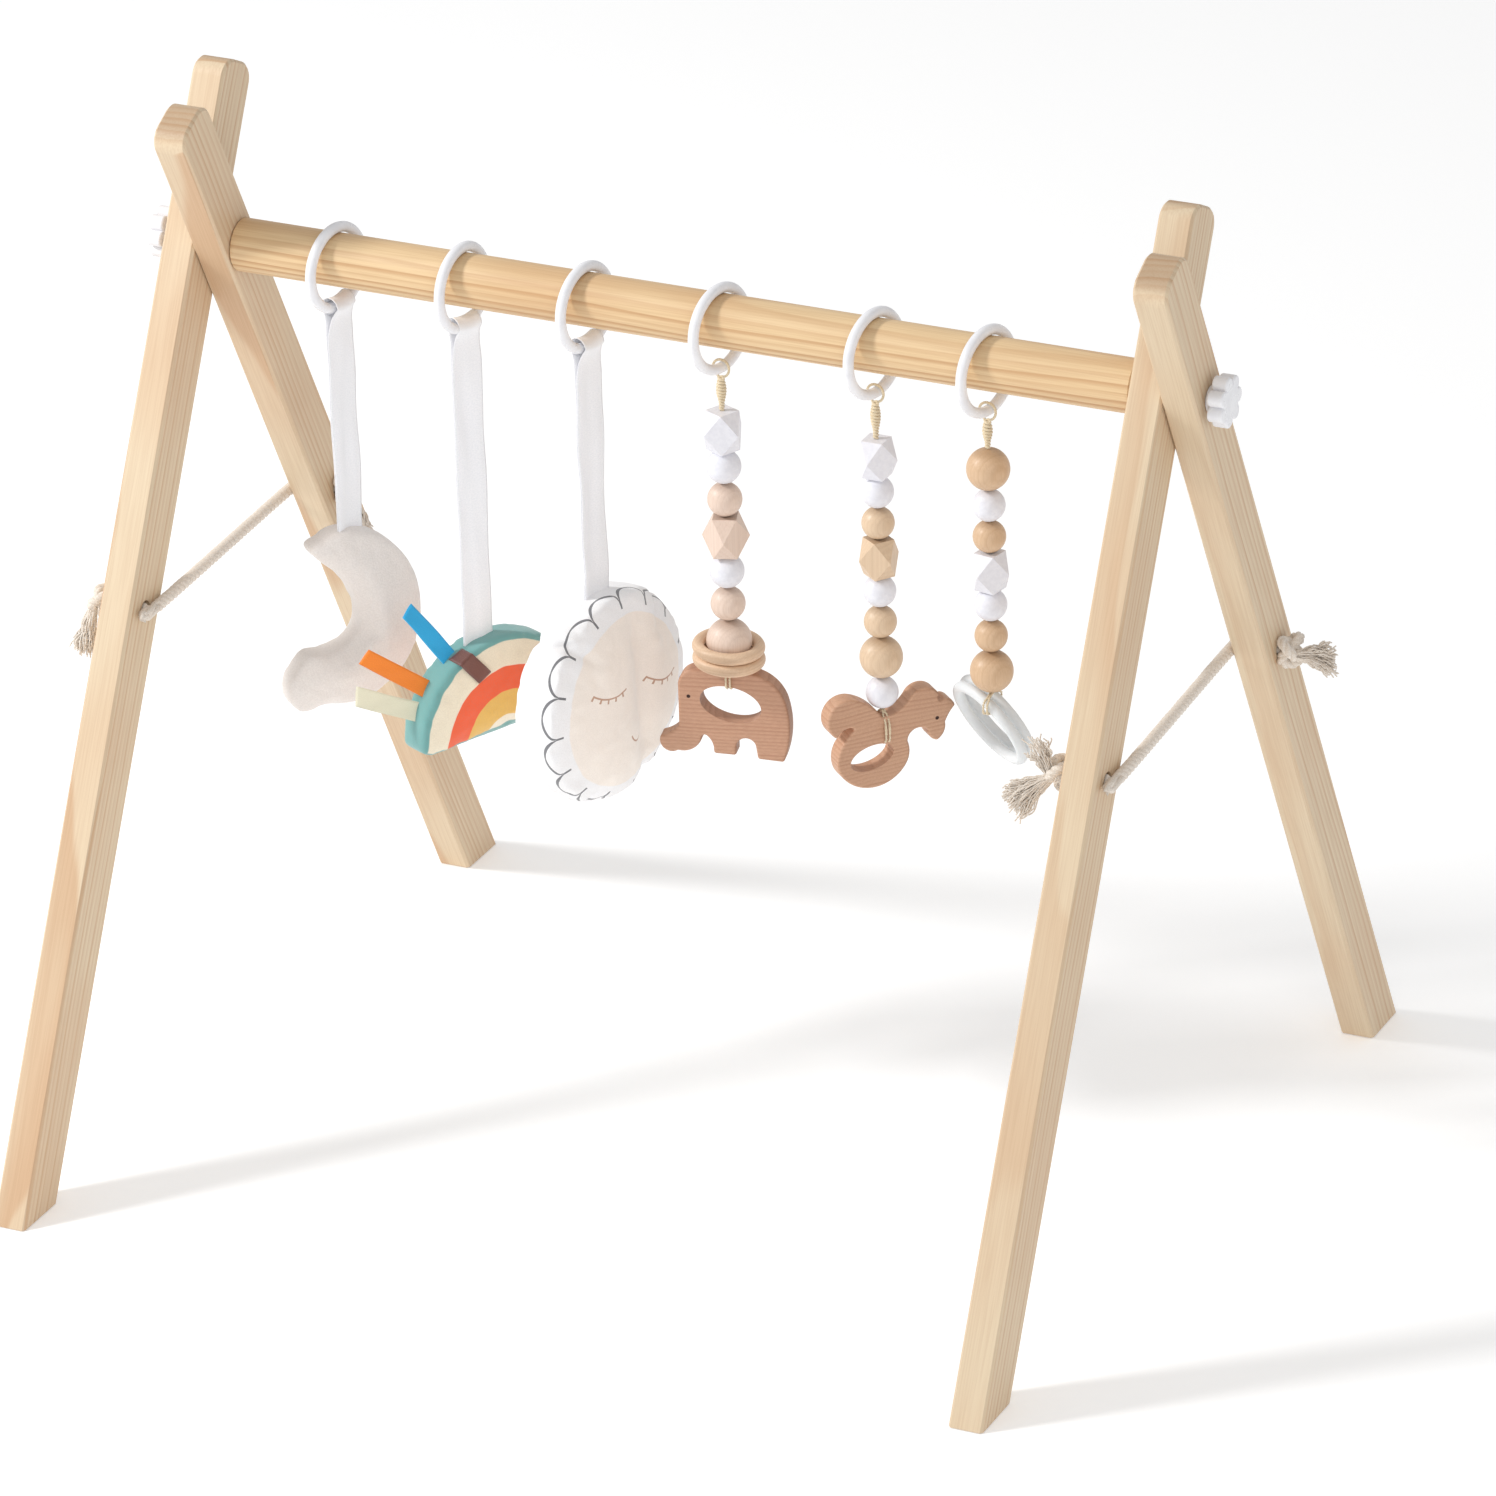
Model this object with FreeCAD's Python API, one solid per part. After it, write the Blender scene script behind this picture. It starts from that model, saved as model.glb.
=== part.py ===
import FreeCAD, Part
import math
import os

# Wooden activity play gym: two pairs of crossed legs, a round bar between them, and six toys
# hanging from rings on the bar. X runs along the bar, -Y is the front, +Z is up, and the origin
# is on the floor under the middle of the bar. Millimetres.

# Frame
LEG_W = 20.0  # across the leg, along X
LEG_D = 33.0  # the leg's deeper side
LEG_ABOVE = 100.0  # leg above the pivot, measured along the leg
LEAN = 27.0  # each leg from the vertical, with the ropes taut
PIVOT_Z = 490.0  # height of the bar's axis
TOP_ROUND = 11.0
LEG_EASE = 1.5  # broken long edges
BAR_R = 15.0
SPAN = 540.0  # between the inner legs
GAP = 0.4  # between the two legs of a pair
BAR_PLAY = 0.2  # between the bar's end and the leg
STUD_R = 3.0
STUD_PLAY = 0.06
INSERT_R = 4.5
INSERT_L = 20.0
KNOB_R = 10.2
KNOB_LOBE_R = 4.4
KNOB_LOBES = 7
KNOB_T = 9.0
KNOB_BOSS = 3.0

# Side ropes
ROPE_R = 3.0
ROPE_HOLE_R = 5.0
ROPE_DOWN = 208.0  # hole below the pivot, along the leg
ROPE_BEND = 6.0
KNOT_R = 10.0
KNOT_T = 11.0

# Rings on the bar
RING_R = 23.0  # to the middle of the tube
RING_TUBE = 3.0
RING_Z = PIVOT_Z + BAR_R + 0.1 - (RING_R - RING_TUBE)

# Ribbons and cords
RIBBON_W = 21.0
RIBBON_T = 1.2
CORD_R = 0.9
LOOP_SLACK = 2.6  # room that a hanging loop leaves beside a ring's tube

# Beads
BEAD_R = 9.4
BIG_BEAD_R = 12.3
FACET_R = 11.3  # half the faceted bead's height
FACET_W = 9.1  # and half its width
BEAD_HOLE_R = 1.2

INNER = SPAN / 2
OUTER = INNER + LEG_W + GAP
X_AXIS = FreeCAD.Vector(1, 0, 0)
Y_AXIS = FreeCAD.Vector(0, 1, 0)
Z_AXIS = FreeCAD.Vector(0, 0, 1)
ORIGIN = FreeCAD.Vector(0, 0, 0)


def vec(x, y, z):
    return FreeCAD.Vector(x, y, z)


def save(node, *solids):
    shape = solids[0] if len(solids) == 1 else Part.makeCompound(list(solids))
    shape.exportStep("parts/" + node + ".step")


def x_cylinder(radius, x0, x1, y=0.0, z=0.0):
    return Part.makeCylinder(radius, x1 - x0, vec(x0, y, z), X_AXIS)


def outline(start, steps):
    """A closed flat outline in XZ. Each step is an end point, or a point to pass and an end point."""
    edges, here = [], start
    for step in list(steps) + [(start,)]:
        points = [vec(x, 0, z) for x, z in (here,) + tuple(step)]
        if (points[-1] - points[0]).Length > 1e-6:
            edges.append(
                Part.Arc(*points).toShape() if len(points) == 3 else Part.makeLine(*points)
            )
        here = step[-1]
    return Part.Face(Part.Wire(edges))


def slab(face, thickness):
    """The outline given a thickness along Y, centred on y = 0."""
    face.translate(vec(0, -thickness / 2, 0))
    return face.extrude(vec(0, thickness, 0))


def oval(x, z, half_long, half_short, tilt, thickness):
    curve = Part.Ellipse(ORIGIN, half_long, half_short)
    face = Part.Face(Part.Wire(curve.toShape()))
    face.rotate(ORIGIN, X_AXIS, 90)
    face.rotate(ORIGIN, Y_AXIS, -tilt)
    face.translate(vec(x, 0, z))
    return slab(face, thickness)


def ease(shape, radius, wanted):
    return shape.makeFillet(radius, [e for e in shape.Edges if wanted(e)])


def flat_rim(half_thickness):
    """Picks the edges that lie in the front and back faces of a slab."""
    return lambda e: all(abs(abs(v.Y) - half_thickness) < 0.01 for v in e.Vertexes)


def torus(radius, tube, centre, axis):
    return Part.makeTorus(radius, tube, centre, axis)


def rounded_path(points, radius):
    """Straight runs through the points, joined by tangent arcs of one radius."""
    edges, start = [], points[0]
    for before, corner, after in zip(points, points[1:], points[2:]):
        a, b = (before - corner).normalize(), (after - corner).normalize()
        half = a.getAngle(b) / 2
        reach = radius / math.tan(half)
        p, q = corner + a * reach, corner + b * reach
        middle = corner + (a + b).normalize() * (radius / math.sin(half) - radius)
        edges += [Part.LineSegment(start, p).toShape(), Part.Arc(p, middle, q).toShape()]
        start = q
    edges.append(Part.LineSegment(start, points[-1]).toShape())
    return Part.Wire(edges)


def tube_along(wire, radius):
    first = wire.Edges[0]
    start = first.valueAt(first.FirstParameter)
    circle = Part.Circle(start, first.tangentAt(first.FirstParameter), radius)
    return wire.makePipeShell([Part.Wire(circle.toShape())], True, False)


# ---------------------------------------------------------------- legs
def leg(x0, lean, bore_r):
    """A leg whose pivot is at the bar's axis, leaning by lean degrees about X, foot cut level."""
    half = LEG_D / 2
    side = Part.makeBox(LEG_W, LEG_D, LEG_ABOVE + PIVOT_Z * 1.3, vec(x0, -half, -PIVOT_Z * 1.3))
    side = ease(
        side,
        TOP_ROUND,
        lambda e: e.Vertexes[0].Z > LEG_ABOVE - 1 and abs(e.Vertexes[0].X - e.Vertexes[-1].X) > 1,
    )
    side = side.makeChamfer(
        LEG_EASE, [e for e in side.Edges if abs(e.Vertexes[0].Z - e.Vertexes[-1].Z) > LEG_W]
    )
    side = side.cut(x_cylinder(bore_r, x0 - 1, x0 + LEG_W + 1))
    side = side.cut(x_cylinder(ROPE_HOLE_R, x0 - 1, x0 + LEG_W + 1, 0, -ROPE_DOWN))
    side.rotate(ORIGIN, X_AXIS, lean)
    side.translate(vec(0, 0, PIVOT_Z))
    floor = Part.makeBox(900, 900, 300, vec(-450, -450, -300))
    return side.cut(floor)


BORE = STUD_R + STUD_PLAY

os.makedirs("parts", exist_ok=True)
save("leg_front_left", leg(-OUTER - LEG_W, -LEAN, BORE))
save("leg_back_left", leg(-INNER - LEG_W, LEAN, BORE))
save("leg_front_right", leg(INNER, -LEAN, BORE))
save("leg_back_right", leg(OUTER, LEAN, BORE))

# ---------------------------------------------------------------- bar and its threaded inserts
bar_end = INNER - BAR_PLAY
bar = x_cylinder(BAR_R, -bar_end, bar_end, 0, PIVOT_Z)
bar = bar.makeChamfer(0.8, [e for e in bar.Edges if len(e.Vertexes) == 1])
inserts = []
for x0 in (-bar_end, bar_end - INSERT_L):
    seat = x_cylinder(INSERT_R, x0, x0 + INSERT_L, 0, PIVOT_Z)
    bar = bar.cut(seat)
    inserts.append(seat.cut(x_cylinder(BORE, x0 - 1, x0 + INSERT_L + 1, 0, PIVOT_Z)))
save("bar", bar)
save("bar_inserts", *inserts)


# ---------------------------------------------------------------- knob screws
def knob(node, side):
    """A lobed knob moulded on a steel stud; side is -1 on the left and +1 on the right."""
    face = OUTER + LEG_W + 0.3
    head = x_cylinder(KNOB_R, face + KNOB_BOSS, face + KNOB_BOSS + KNOB_T)
    for i in range(KNOB_LOBES):
        turn = 2 * math.pi * i / KNOB_LOBES
        y, z = KNOB_R * math.cos(turn), KNOB_R * math.sin(turn)
        lobe = x_cylinder(KNOB_LOBE_R, face + KNOB_BOSS, face + KNOB_BOSS + KNOB_T, y, z)
        head = head.fuse(lobe)
    head = head.removeSplitter()
    ends = (face + KNOB_BOSS, face + KNOB_BOSS + KNOB_T)
    head = ease(
        head, 1.2, lambda e: any(all(abs(v.X - x) < 0.01 for v in e.Vertexes) for x in ends)
    )
    head = head.fuse(x_cylinder(7.5, face, face + KNOB_BOSS + 1))
    tip = bar_end - INSERT_L + 4
    stud = x_cylinder(STUD_R, tip, face + KNOB_BOSS + KNOB_T - 3)
    head = head.cut(stud)
    for shape in (head, stud):
        shape.rotate(ORIGIN, Z_AXIS, 0 if side > 0 else 180)
        shape.translate(vec(0, 0, PIVOT_Z))
    save("knob_" + node, head)
    save("knob_stud_" + node, stud)


knob("left", -1)
knob("right", 1)

# ---------------------------------------------------------------- side ropes and their knots
lean = math.radians(LEAN)
hole_y = ROPE_DOWN * math.sin(lean)
hole_z = PIVOT_Z - ROPE_DOWN * math.cos(lean)
out_x = OUTER + LEG_W + 0.3  # the knots bear on the legs' far faces
in_x = INNER - 0.3
clear = ROPE_R + 1.3  # the rope's middle stands this far off each leg's inner face


def knot(x, y, toward, tail_turn):
    """A pulled-tight overhand knot with a frayed tail; toward is -1 or +1 along X."""
    ball = Part.makeCylinder(KNOT_R, KNOT_T, ORIGIN, X_AXIS * toward)
    ball = ease(ball, KNOT_T / 2.3, lambda e: len(e.Vertexes) == 1)
    root = vec(toward * KNOT_T / 2, 0, 0)
    tail = Part.makeCone(ROPE_R, ROPE_R * 1.9, 18, root, vec(toward * 0.12, 0, -1))
    tail.rotate(root, X_AXIS, tail_turn)
    shape = ball.fuse(tail)
    shape.translate(vec(x, y, hole_z))
    return shape


def side_rope(half_turn):
    """The left rope's line, or the right one's, which is the same turned half round."""
    points = [
        vec(-out_x, -hole_y, hole_z),
        vec(-OUTER + clear, -hole_y, hole_z),
        vec(-INNER - LEG_W - clear, hole_y, hole_z),
        vec(-in_x, hole_y, hole_z),
    ]
    line = rounded_path(points, ROPE_BEND)
    rope = tube_along(line, ROPE_R)
    rope.rotate(ORIGIN, Z_AXIS, half_turn)
    print("side rope length", round(line.Length, 1))
    return rope


save("rope_left", side_rope(0))
save("rope_right", side_rope(180))
save("knot_front_left", knot(-out_x, -hole_y, -1, 20))
save("knot_back_left", knot(-in_x, hole_y, 1, -30))
save("knot_front_right", knot(in_x, -hole_y, -1, 30))
save("knot_back_right", knot(out_x, hole_y, 1, 35))


# ---------------------------------------------------------------- what every toy hangs from
def ring(node, x, skew):
    """A plastic ring threaded on the bar, turned a little about Z."""
    shape = torus(RING_R, RING_TUBE, ORIGIN, X_AXIS)
    shape.rotate(ORIGIN, Z_AXIS, skew)
    shape.translate(vec(x, 0, RING_Z))
    save(node, shape)


def ribbon(x, turn, end_z, inner):
    """A doubled ribbon hanging from a ring, its flat side turned about Z; it ends at end_z."""
    outer = inner + RIBBON_T
    low = RING_Z - RING_R
    wrap = Part.makeCylinder(outer, RIBBON_W, vec(0, -RIBBON_W / 2, 0), Y_AXIS)
    strip = Part.makeBox(RIBBON_T * 2, RIBBON_W, low - end_z, vec(-RIBBON_T, -RIBBON_W / 2, end_z - low))
    shape = wrap.fuse(strip)
    shape = shape.cut(Part.makeCylinder(inner, RIBBON_W + 2, vec(0, -RIBBON_W / 2 - 1, 0), Y_AXIS))
    shape.rotate(ORIGIN, Z_AXIS, turn)
    shape.translate(vec(x, 0, low))
    return shape


def turned(shape, x, z, turn):
    """Turn a toy modelled facing -Y about Z, then hang it at x and z."""
    shape.rotate(ORIGIN, Z_AXIS, turn)
    shape.translate(vec(x, 0, z))
    return shape


RIBBON_INNER = RING_TUBE + 3.9  # inside of the ribbon's wrap, clear of the ring's curve

# ---------------------------------------------------------------- toy 1: crescent moon
MOON_X, MOON_TURN, MOON_TOP, MOON_T = -211.0, 52.0, 328.0, 30.0
ring("ring_moon", MOON_X, -10)
moon = slab(
    outline(
        (-19, -9),
        [
            ((-23, -3), (-15, 0.5)),
            ((40.5, -52), (-19, -99)),
            ((-43, -94), (-45, -76)),
            ((-3, -52), (-19, -9)),
        ],
    ),
    MOON_T,
)
moon = ease(moon, 5, flat_rim(MOON_T / 2))
moon_ribbon = ribbon(MOON_X, -12, MOON_TOP - 5, RIBBON_INNER)
moon = turned(moon, MOON_X, MOON_TOP, MOON_TURN)
save("moon_plush", moon.cut(moon_ribbon))
save("ribbon_moon", moon_ribbon)

# ---------------------------------------------------------------- toy 2: rainbow with tabs
BOW_X, BOW_TURN, BOW_TOP, BOW_T, BOW_R = -133.0, 64.0, 275.0, 22.0, 56.0
BOW_SHIFT = 8.0  # the arch hangs a little off its ribbon
ring("ring_rainbow", BOW_X, -6)
bow = slab(
    outline(
        (-BOW_R, -BOW_R),
        [((0, 0), (BOW_R, -BOW_R)), ((BOW_R - 4, -BOW_R - 4),), ((4 - BOW_R, -BOW_R - 4),)],
    ),
    BOW_T,
)
bow = ease(bow, 3, flat_rim(BOW_T / 2))
bow.translate(vec(BOW_SHIFT, 0, 0))
bow_ribbon = ribbon(BOW_X, -10, BOW_TOP - 6, RIBBON_INNER)
bow = turned(bow, BOW_X, BOW_TOP, BOW_TURN)
bow = bow.cut(bow_ribbon)


def tab(angle, length, width, lie):
    """A flat ribbon tab sewn in the arch's outer seam, angle degrees up from its left foot."""
    strip = Part.makeBox(length + 4, 1.0, width, vec(-BOW_R - length, -0.5, -width / 2))
    strip.rotate(vec(-BOW_R, 0, 0), Z_AXIS, lie)
    strip.rotate(ORIGIN, Y_AXIS, angle)
    strip.translate(vec(BOW_SHIFT, 0, -BOW_R))
    return turned(strip, BOW_X, BOW_TOP, BOW_TURN).cut(bow)


save("tab_pale", tab(14, 36, 11, 6))
save("tab_orange", tab(32, 36, 8.5, 8))
save("tab_blue", tab(46, 34, 9.5, 8))
loop_tab = torus(6.5, 1.4, ORIGIN, Y_AXIS)
loop_tab.translate(vec(-BOW_R - 2, 0, 0))
loop_tab.rotate(ORIGIN, Y_AXIS, 61)
loop_tab.translate(vec(BOW_SHIFT, 0, -BOW_R))
loop_tab = turned(loop_tab, BOW_X, BOW_TOP, BOW_TURN).cut(bow)
save("tab_brown_loop", loop_tab)
save("rainbow_plush", bow)
save("ribbon_rainbow", bow_ribbon)

# ---------------------------------------------------------------- toy 3: round sleeping face
FACE_X, FACE_TURN, FACE_TOP, FACE_T, FACE_R = -58.0, 79.0, 315.0, 38.0, 61.0
ring("ring_face", FACE_X, -9)
face = Part.makeCylinder(FACE_R, FACE_T, vec(0, FACE_T / 2, -FACE_R), Y_AXIS * -1)
face = ease(face, 13, lambda e: len(e.Vertexes) == 1)
face_ribbon = ribbon(FACE_X, -14, FACE_TOP - 5, RIBBON_INNER)
face = turned(face, FACE_X, FACE_TOP, FACE_TURN)
save("face_plush", face.cut(face_ribbon))
save("ribbon_face", face_ribbon)


# ---------------------------------------------------------------- beads
def round_bead(x, z, radius):
    return Part.makeSphere(radius, vec(x, 0, z))


def faceted_bead(x, z, half, wide):
    """A stretched cuboctahedron: six faces standing on a corner and eight triangles."""
    corners = {}
    for a in (-1, 1):
        for b in (-1, 1):
            for point in ((a, b, 0), (a, 0, b), (0, a, b)):
                corners[point] = vec(point[0] * wide, point[1] * wide, point[2] * half)
    faces = []
    for axis in range(3):
        for side in (-1, 1):
            ring_of = [p for p in corners if p[axis] == side]
            u, v = [k for k in range(3) if k != axis]
            ring_of.sort(key=lambda p: math.atan2(p[v], p[u]))
            faces.append(Part.Face(Part.makePolygon([corners[p] for p in ring_of + ring_of[:1]])))
    for i in (-1, 1):
        for j in (-1, 1):
            for k in (-1, 1):
                three = [corners[p] for p in ((i, j, 0), (i, 0, k), (0, j, k), (i, j, 0))]
                faces.append(Part.Face(Part.makePolygon(three)))
    solid = Part.Solid(Part.Shell(faces))
    if solid.Volume < 0:
        solid.reverse()
    solid.translate(vec(x, 0, z))
    return solid


def string_of_beads(name, x, top_z, size, kinds, turns):
    """Beads threaded downwards from top_z, one node for each kind; returns where they end."""
    groups, z, turns = {}, top_z, list(turns)
    for kind in kinds:
        radius = {"large": BIG_BEAD_R, "facet": FACET_R}.get(kind.split("_")[0], BEAD_R) * size
        z -= radius
        if kind.startswith("facet"):
            bead = faceted_bead(x, z, radius, FACET_W * size)
            bead.rotate(vec(x, 0, z), Z_AXIS, turns.pop(0))
        else:
            bead = round_bead(x, z, radius)
        bead = bead.cut(Part.makeCylinder(BEAD_HOLE_R, 3 * radius, vec(x, 0, z - 1.5 * radius)))
        groups.setdefault(kind, []).append(bead)
        z -= radius + 0.1
    for kind, solids in groups.items():
        save(name + "_beads_" + kind, *solids)
    return z


def cord_loop(x, z_top, width, drop, bend, turn):
    """A closed upright loop of cord in the YZ plane, turned about Z, hanging from z_top."""
    half, low = width / 2, z_top - drop
    corners = [(half, z_top), (half, low), (-half, low), (-half, z_top)]
    points = [vec(0, y, z) for y, z in [(0, z_top)] + corners + [(0, z_top)]]
    loop = tube_along(rounded_path(points, bend), CORD_R)
    loop.rotate(ORIGIN, Z_AXIS, turn)
    loop.translate(vec(x, 0, 0))
    return loop


def hanging_cord(x, skew, z_low, end_z):
    """A cord tied in a loop round its ring, with a wrapped knot, running down to end_z."""
    top = RING_Z - RING_R + RING_TUBE + CORD_R + 0.6
    width = 2 * (RING_TUBE + LOOP_SLACK + CORD_R)
    drop = 2 * (RING_TUBE + CORD_R + 0.6)
    loop = cord_loop(x, top, width, drop, 3.0, 90 + skew)
    wrap_top = top - drop + CORD_R
    wrap = Part.makeCylinder(2.2, wrap_top - z_low, vec(x, 0, z_low))
    wrap = ease(wrap, 1.5, lambda e: len(e.Vertexes) == 1)
    line = Part.makeCylinder(CORD_R, wrap_top - 1 - end_z, vec(x, 0, end_z))
    return loop.fuse(wrap).fuse(line).removeSplitter()


def teether_loop(x, bead_end, low, thickness, turn):
    """The loop under a string that goes over a teether's back and through its hole."""
    top = bead_end - CORD_R - 0.5
    return cord_loop(x, top, thickness + 2 * CORD_R + 1.2, top - low, 2.4, turn)


# ---------------------------------------------------------------- toy 4: beads, two rings, elephant
EL_X, EL_TURN, EL_T = 23.0, 14.0, 11.0
EL_TOP = PIVOT_Z - 53.0
ring("ring_elephant", EL_X, -12)
end = string_of_beads(
    "elephant",
    EL_X,
    EL_TOP,
    1.03,
    ["facet_white", "round_white", "round_natural", "facet_natural"]
    + ["round_white", "round_natural", "large_natural"],
    (20, 65),
)
EL_Z = end - 5.6  # the elephant's back, under the last bead
save("cord_elephant", hanging_cord(EL_X, -12, EL_TOP + 0.8, end - 0.1))
save("loop_elephant", teether_loop(EL_X, end, EL_Z - 9.4, EL_T, EL_TURN))

elephant = outline(
    (-27, -8),
    [
        ((-24, -1.5), (-17, 1.6)),
        ((-2, 2.8), (12, 1)),
        ((27, -5.5), (34, -18)),
        ((35.5, -34), (31.5, -52)),
        ((17, -51),),
        ((16, -44),),
        ((10, -39), (5, -44)),
        ((5, -49.5),),
        ((-8, -49),),
        ((-9.5, -41), (-14, -37)),
        ((-18, -46), (-28, -48.5)),
        ((-37.5, -46), (-37.5, -40)),
        ((-31, -37), (-27, -33)),
    ],
)
elephant = ease(slab(elephant, EL_T), 1.6, flat_rim(EL_T / 2))
elephant = elephant.cut(oval(2.5, -18.5, 17.5, 10.5, -13, EL_T + 4))
for side in (-1, 1):
    elephant = elephant.cut(Part.makeSphere(1.1, vec(-21, side * (EL_T / 2 + 0.5), -15)))
save("elephant_teether", turned(elephant, EL_X - 2, EL_Z, EL_TURN))

for node, up in (("wooden_ring_upper", 9.2), ("wooden_ring_lower", 2.0)):
    shape = torus(16.8, 3.4, ORIGIN, Z_AXIS)
    shape.rotate(ORIGIN, Y_AXIS, 4)
    shape.translate(vec(EL_X - 0.5, 0, end + up))
    save(node, shape)

# ---------------------------------------------------------------- toy 5: beads and rocking horse
HO_X, HO_TURN, HO_T = 115.0, 48.0, 11.0
HO_TOP = PIVOT_Z - 54.8
ring("ring_horse", HO_X, -12)
end = string_of_beads(
    "horse",
    HO_X,
    HO_TOP,
    0.97,
    ["facet_white", "round_white", "round_natural", "facet_natural"]
    + ["round_white", "round_natural", "large_natural", "round_white"],
    (45, 10),
)
HO_Z = end - 3.0
save("cord_horse", hanging_cord(HO_X, -12, HO_TOP + 0.8, end - 0.1))
save("loop_horse", teether_loop(HO_X, end, HO_Z - 18.6, HO_T, HO_TURN))

horse = outline(
    (-2, -1),
    [
        ((8, 1.5), (15, 8.5)),
        ((24, 12), (32, 6)),
        ((32.5, 2.5), (35, 3.5)),
        ((39, 1.5), (41, -2)),
        ((37, -7), (35, -11)),
        ((33.5, -18), (30, -21)),
        ((26.5, -19), (24.5, -14)),
        ((18, -11.5), (12.5, -18)),
        ((13.5, -25), (11, -32)),
        ((-9, -42), (-28, -30)),
        ((-29, -20), (-24, -11)),
        ((-21, -7), (-18, -4.5)),
        ((-23, -3.5), (-29, -8.5)),
        ((-32, 9), (-19, 13)),
        ((-11, 9), (-2, -1)),
    ],
)
horse = ease(slab(horse, HO_T), 1.2, flat_rim(HO_T / 2))
horse = horse.cut(oval(-9, -23.5, 13, 7.2, 12, HO_T + 4))
for side in (-1, 1):
    horse = horse.cut(Part.makeSphere(1.1, vec(30, side * (HO_T / 2 + 0.5), -7.5)))
save("horse_teether", turned(horse, HO_X, HO_Z, HO_TURN))

# ---------------------------------------------------------------- toy 6: beads and two soft rings
RI_X = 181.0
RI_TOP = PIVOT_Z - 49.8
SOFT_R, SOFT_TUBE = 25.5, 3.1
SOFT_DOWN = vec(-0.256, 0.613, -0.748).normalize()
SOFT_NORMAL = vec(0.4735, 0.753, 0.456).normalize()
ring("ring_beads", RI_X, -12)
end = string_of_beads(
    "rings",
    RI_X,
    RI_TOP,
    0.97,
    ["large_natural", "round_white", "round_natural", "facet_white"]
    + ["round_white", "round_natural", "large_natural"],
    (35,),
)
save("cord_rings", hanging_cord(RI_X, -12, RI_TOP + 0.8, end - 0.1))
save("loop_rings", cord_loop(RI_X, end - CORD_R - 0.1, 19.2, 10.4, 2.6, 0))


def soft_ring(node, y, down, normal):
    """A ring held at the loop, with its middle in the direction down; both are unit vectors."""
    held = vec(RI_X, y, end - 6.2)
    save(node, torus(SOFT_R, SOFT_TUBE, held + down * SOFT_R, normal))


soft_ring("soft_ring_front", -4.6, SOFT_DOWN, SOFT_NORMAL)
soft_ring("soft_ring_back", 4.6, SOFT_DOWN, SOFT_NORMAL)
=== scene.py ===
import math
import random

import bmesh
import bpy
from mathutils import Matrix, Vector, noise


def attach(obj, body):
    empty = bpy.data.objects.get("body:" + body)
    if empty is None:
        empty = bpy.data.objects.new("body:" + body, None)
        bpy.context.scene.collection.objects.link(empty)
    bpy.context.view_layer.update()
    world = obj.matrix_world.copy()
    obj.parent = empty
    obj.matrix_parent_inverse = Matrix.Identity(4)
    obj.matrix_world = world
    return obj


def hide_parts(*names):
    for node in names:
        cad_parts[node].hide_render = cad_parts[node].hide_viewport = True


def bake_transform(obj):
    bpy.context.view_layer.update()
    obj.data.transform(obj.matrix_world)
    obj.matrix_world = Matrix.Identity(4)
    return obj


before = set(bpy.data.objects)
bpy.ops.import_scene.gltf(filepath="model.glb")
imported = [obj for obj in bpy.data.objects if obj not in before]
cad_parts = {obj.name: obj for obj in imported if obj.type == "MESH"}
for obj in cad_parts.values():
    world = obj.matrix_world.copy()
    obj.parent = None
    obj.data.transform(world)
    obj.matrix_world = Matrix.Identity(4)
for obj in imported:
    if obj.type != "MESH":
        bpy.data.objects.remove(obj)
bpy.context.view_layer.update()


# ---------------------------------------------------------------- timber
# Bare sanded pine. One shader group works out the growth rings of a trunk from solid coordinates,
# so long faces show stripes and sawn ends show arcs. Each piece turns its own grain axis to Z.
def linear(red, green, blue):
    """An 8-bit display colour as the linear colour that a shader takes."""
    channel = [c / 255 for c in (red, green, blue)]
    return tuple(c / 12.92 if c < 0.04 else ((c + 0.055) / 1.055) ** 2.4 for c in channel) + (1,)


def add(tree, kind, values=(), **props):
    """A node with its properties and inputs set. An input given a socket is linked to it."""
    node = tree.nodes.new(kind)
    for key, value in props.items():
        setattr(node, key, value)
    for key, value in dict(values).items():
        if isinstance(value, bpy.types.NodeSocket):
            tree.links.new(value, node.inputs[key])
        else:
            node.inputs[key].default_value = value
    return node


def new_group(name, kind, inputs, outputs):
    """An empty node group with named sockets; returns it with its input and output nodes."""
    tree = bpy.data.node_groups.new(name, kind)
    for side, sockets in (("INPUT", inputs), ("OUTPUT", outputs)):
        for label, socket in sockets:
            tree.interface.new_socket(label, in_out=side, socket_type="NodeSocket" + socket)
    return tree, tree.nodes.new("NodeGroupInput"), tree.nodes.new("NodeGroupOutput")


def math_node(tree, operation, a, b=0.0, clamp=False):
    node = add(tree, "ShaderNodeMath", {0: a, 1: b}, operation=operation, use_clamp=clamp)
    return node.outputs[0]


def ramp(tree, value, low, high, to_low=0.0, to_high=1.0):
    """A smooth step from low to high."""
    values = {"Value": value, "From Min": low, "From Max": high, "To Min": to_low, "To Max": to_high}
    return add(tree, "ShaderNodeMapRange", values, interpolation_type="SMOOTHSTEP").outputs[0]


def blend_colour(tree, factor, a, b):
    values = {0: factor, 6: a, 7: b}
    return add(tree, "ShaderNodeMix", values, data_type="RGBA").outputs[2]


def material(name):
    """An empty material; returns it, its tree and its Principled shader."""
    made = bpy.data.materials.new(name)
    made.use_nodes = True
    return made, made.node_tree, made.node_tree.nodes["Principled BSDF"]


def object_space(tree):
    return add(tree, "ShaderNodeTexCoord").outputs["Object"]


def hypotenuse(tree, a, b):
    squares = [math_node(tree, "MULTIPLY", side, side) for side in (a, b)]
    return math_node(tree, "SQRT", math_node(tree, "ADD", *squares))


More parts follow.
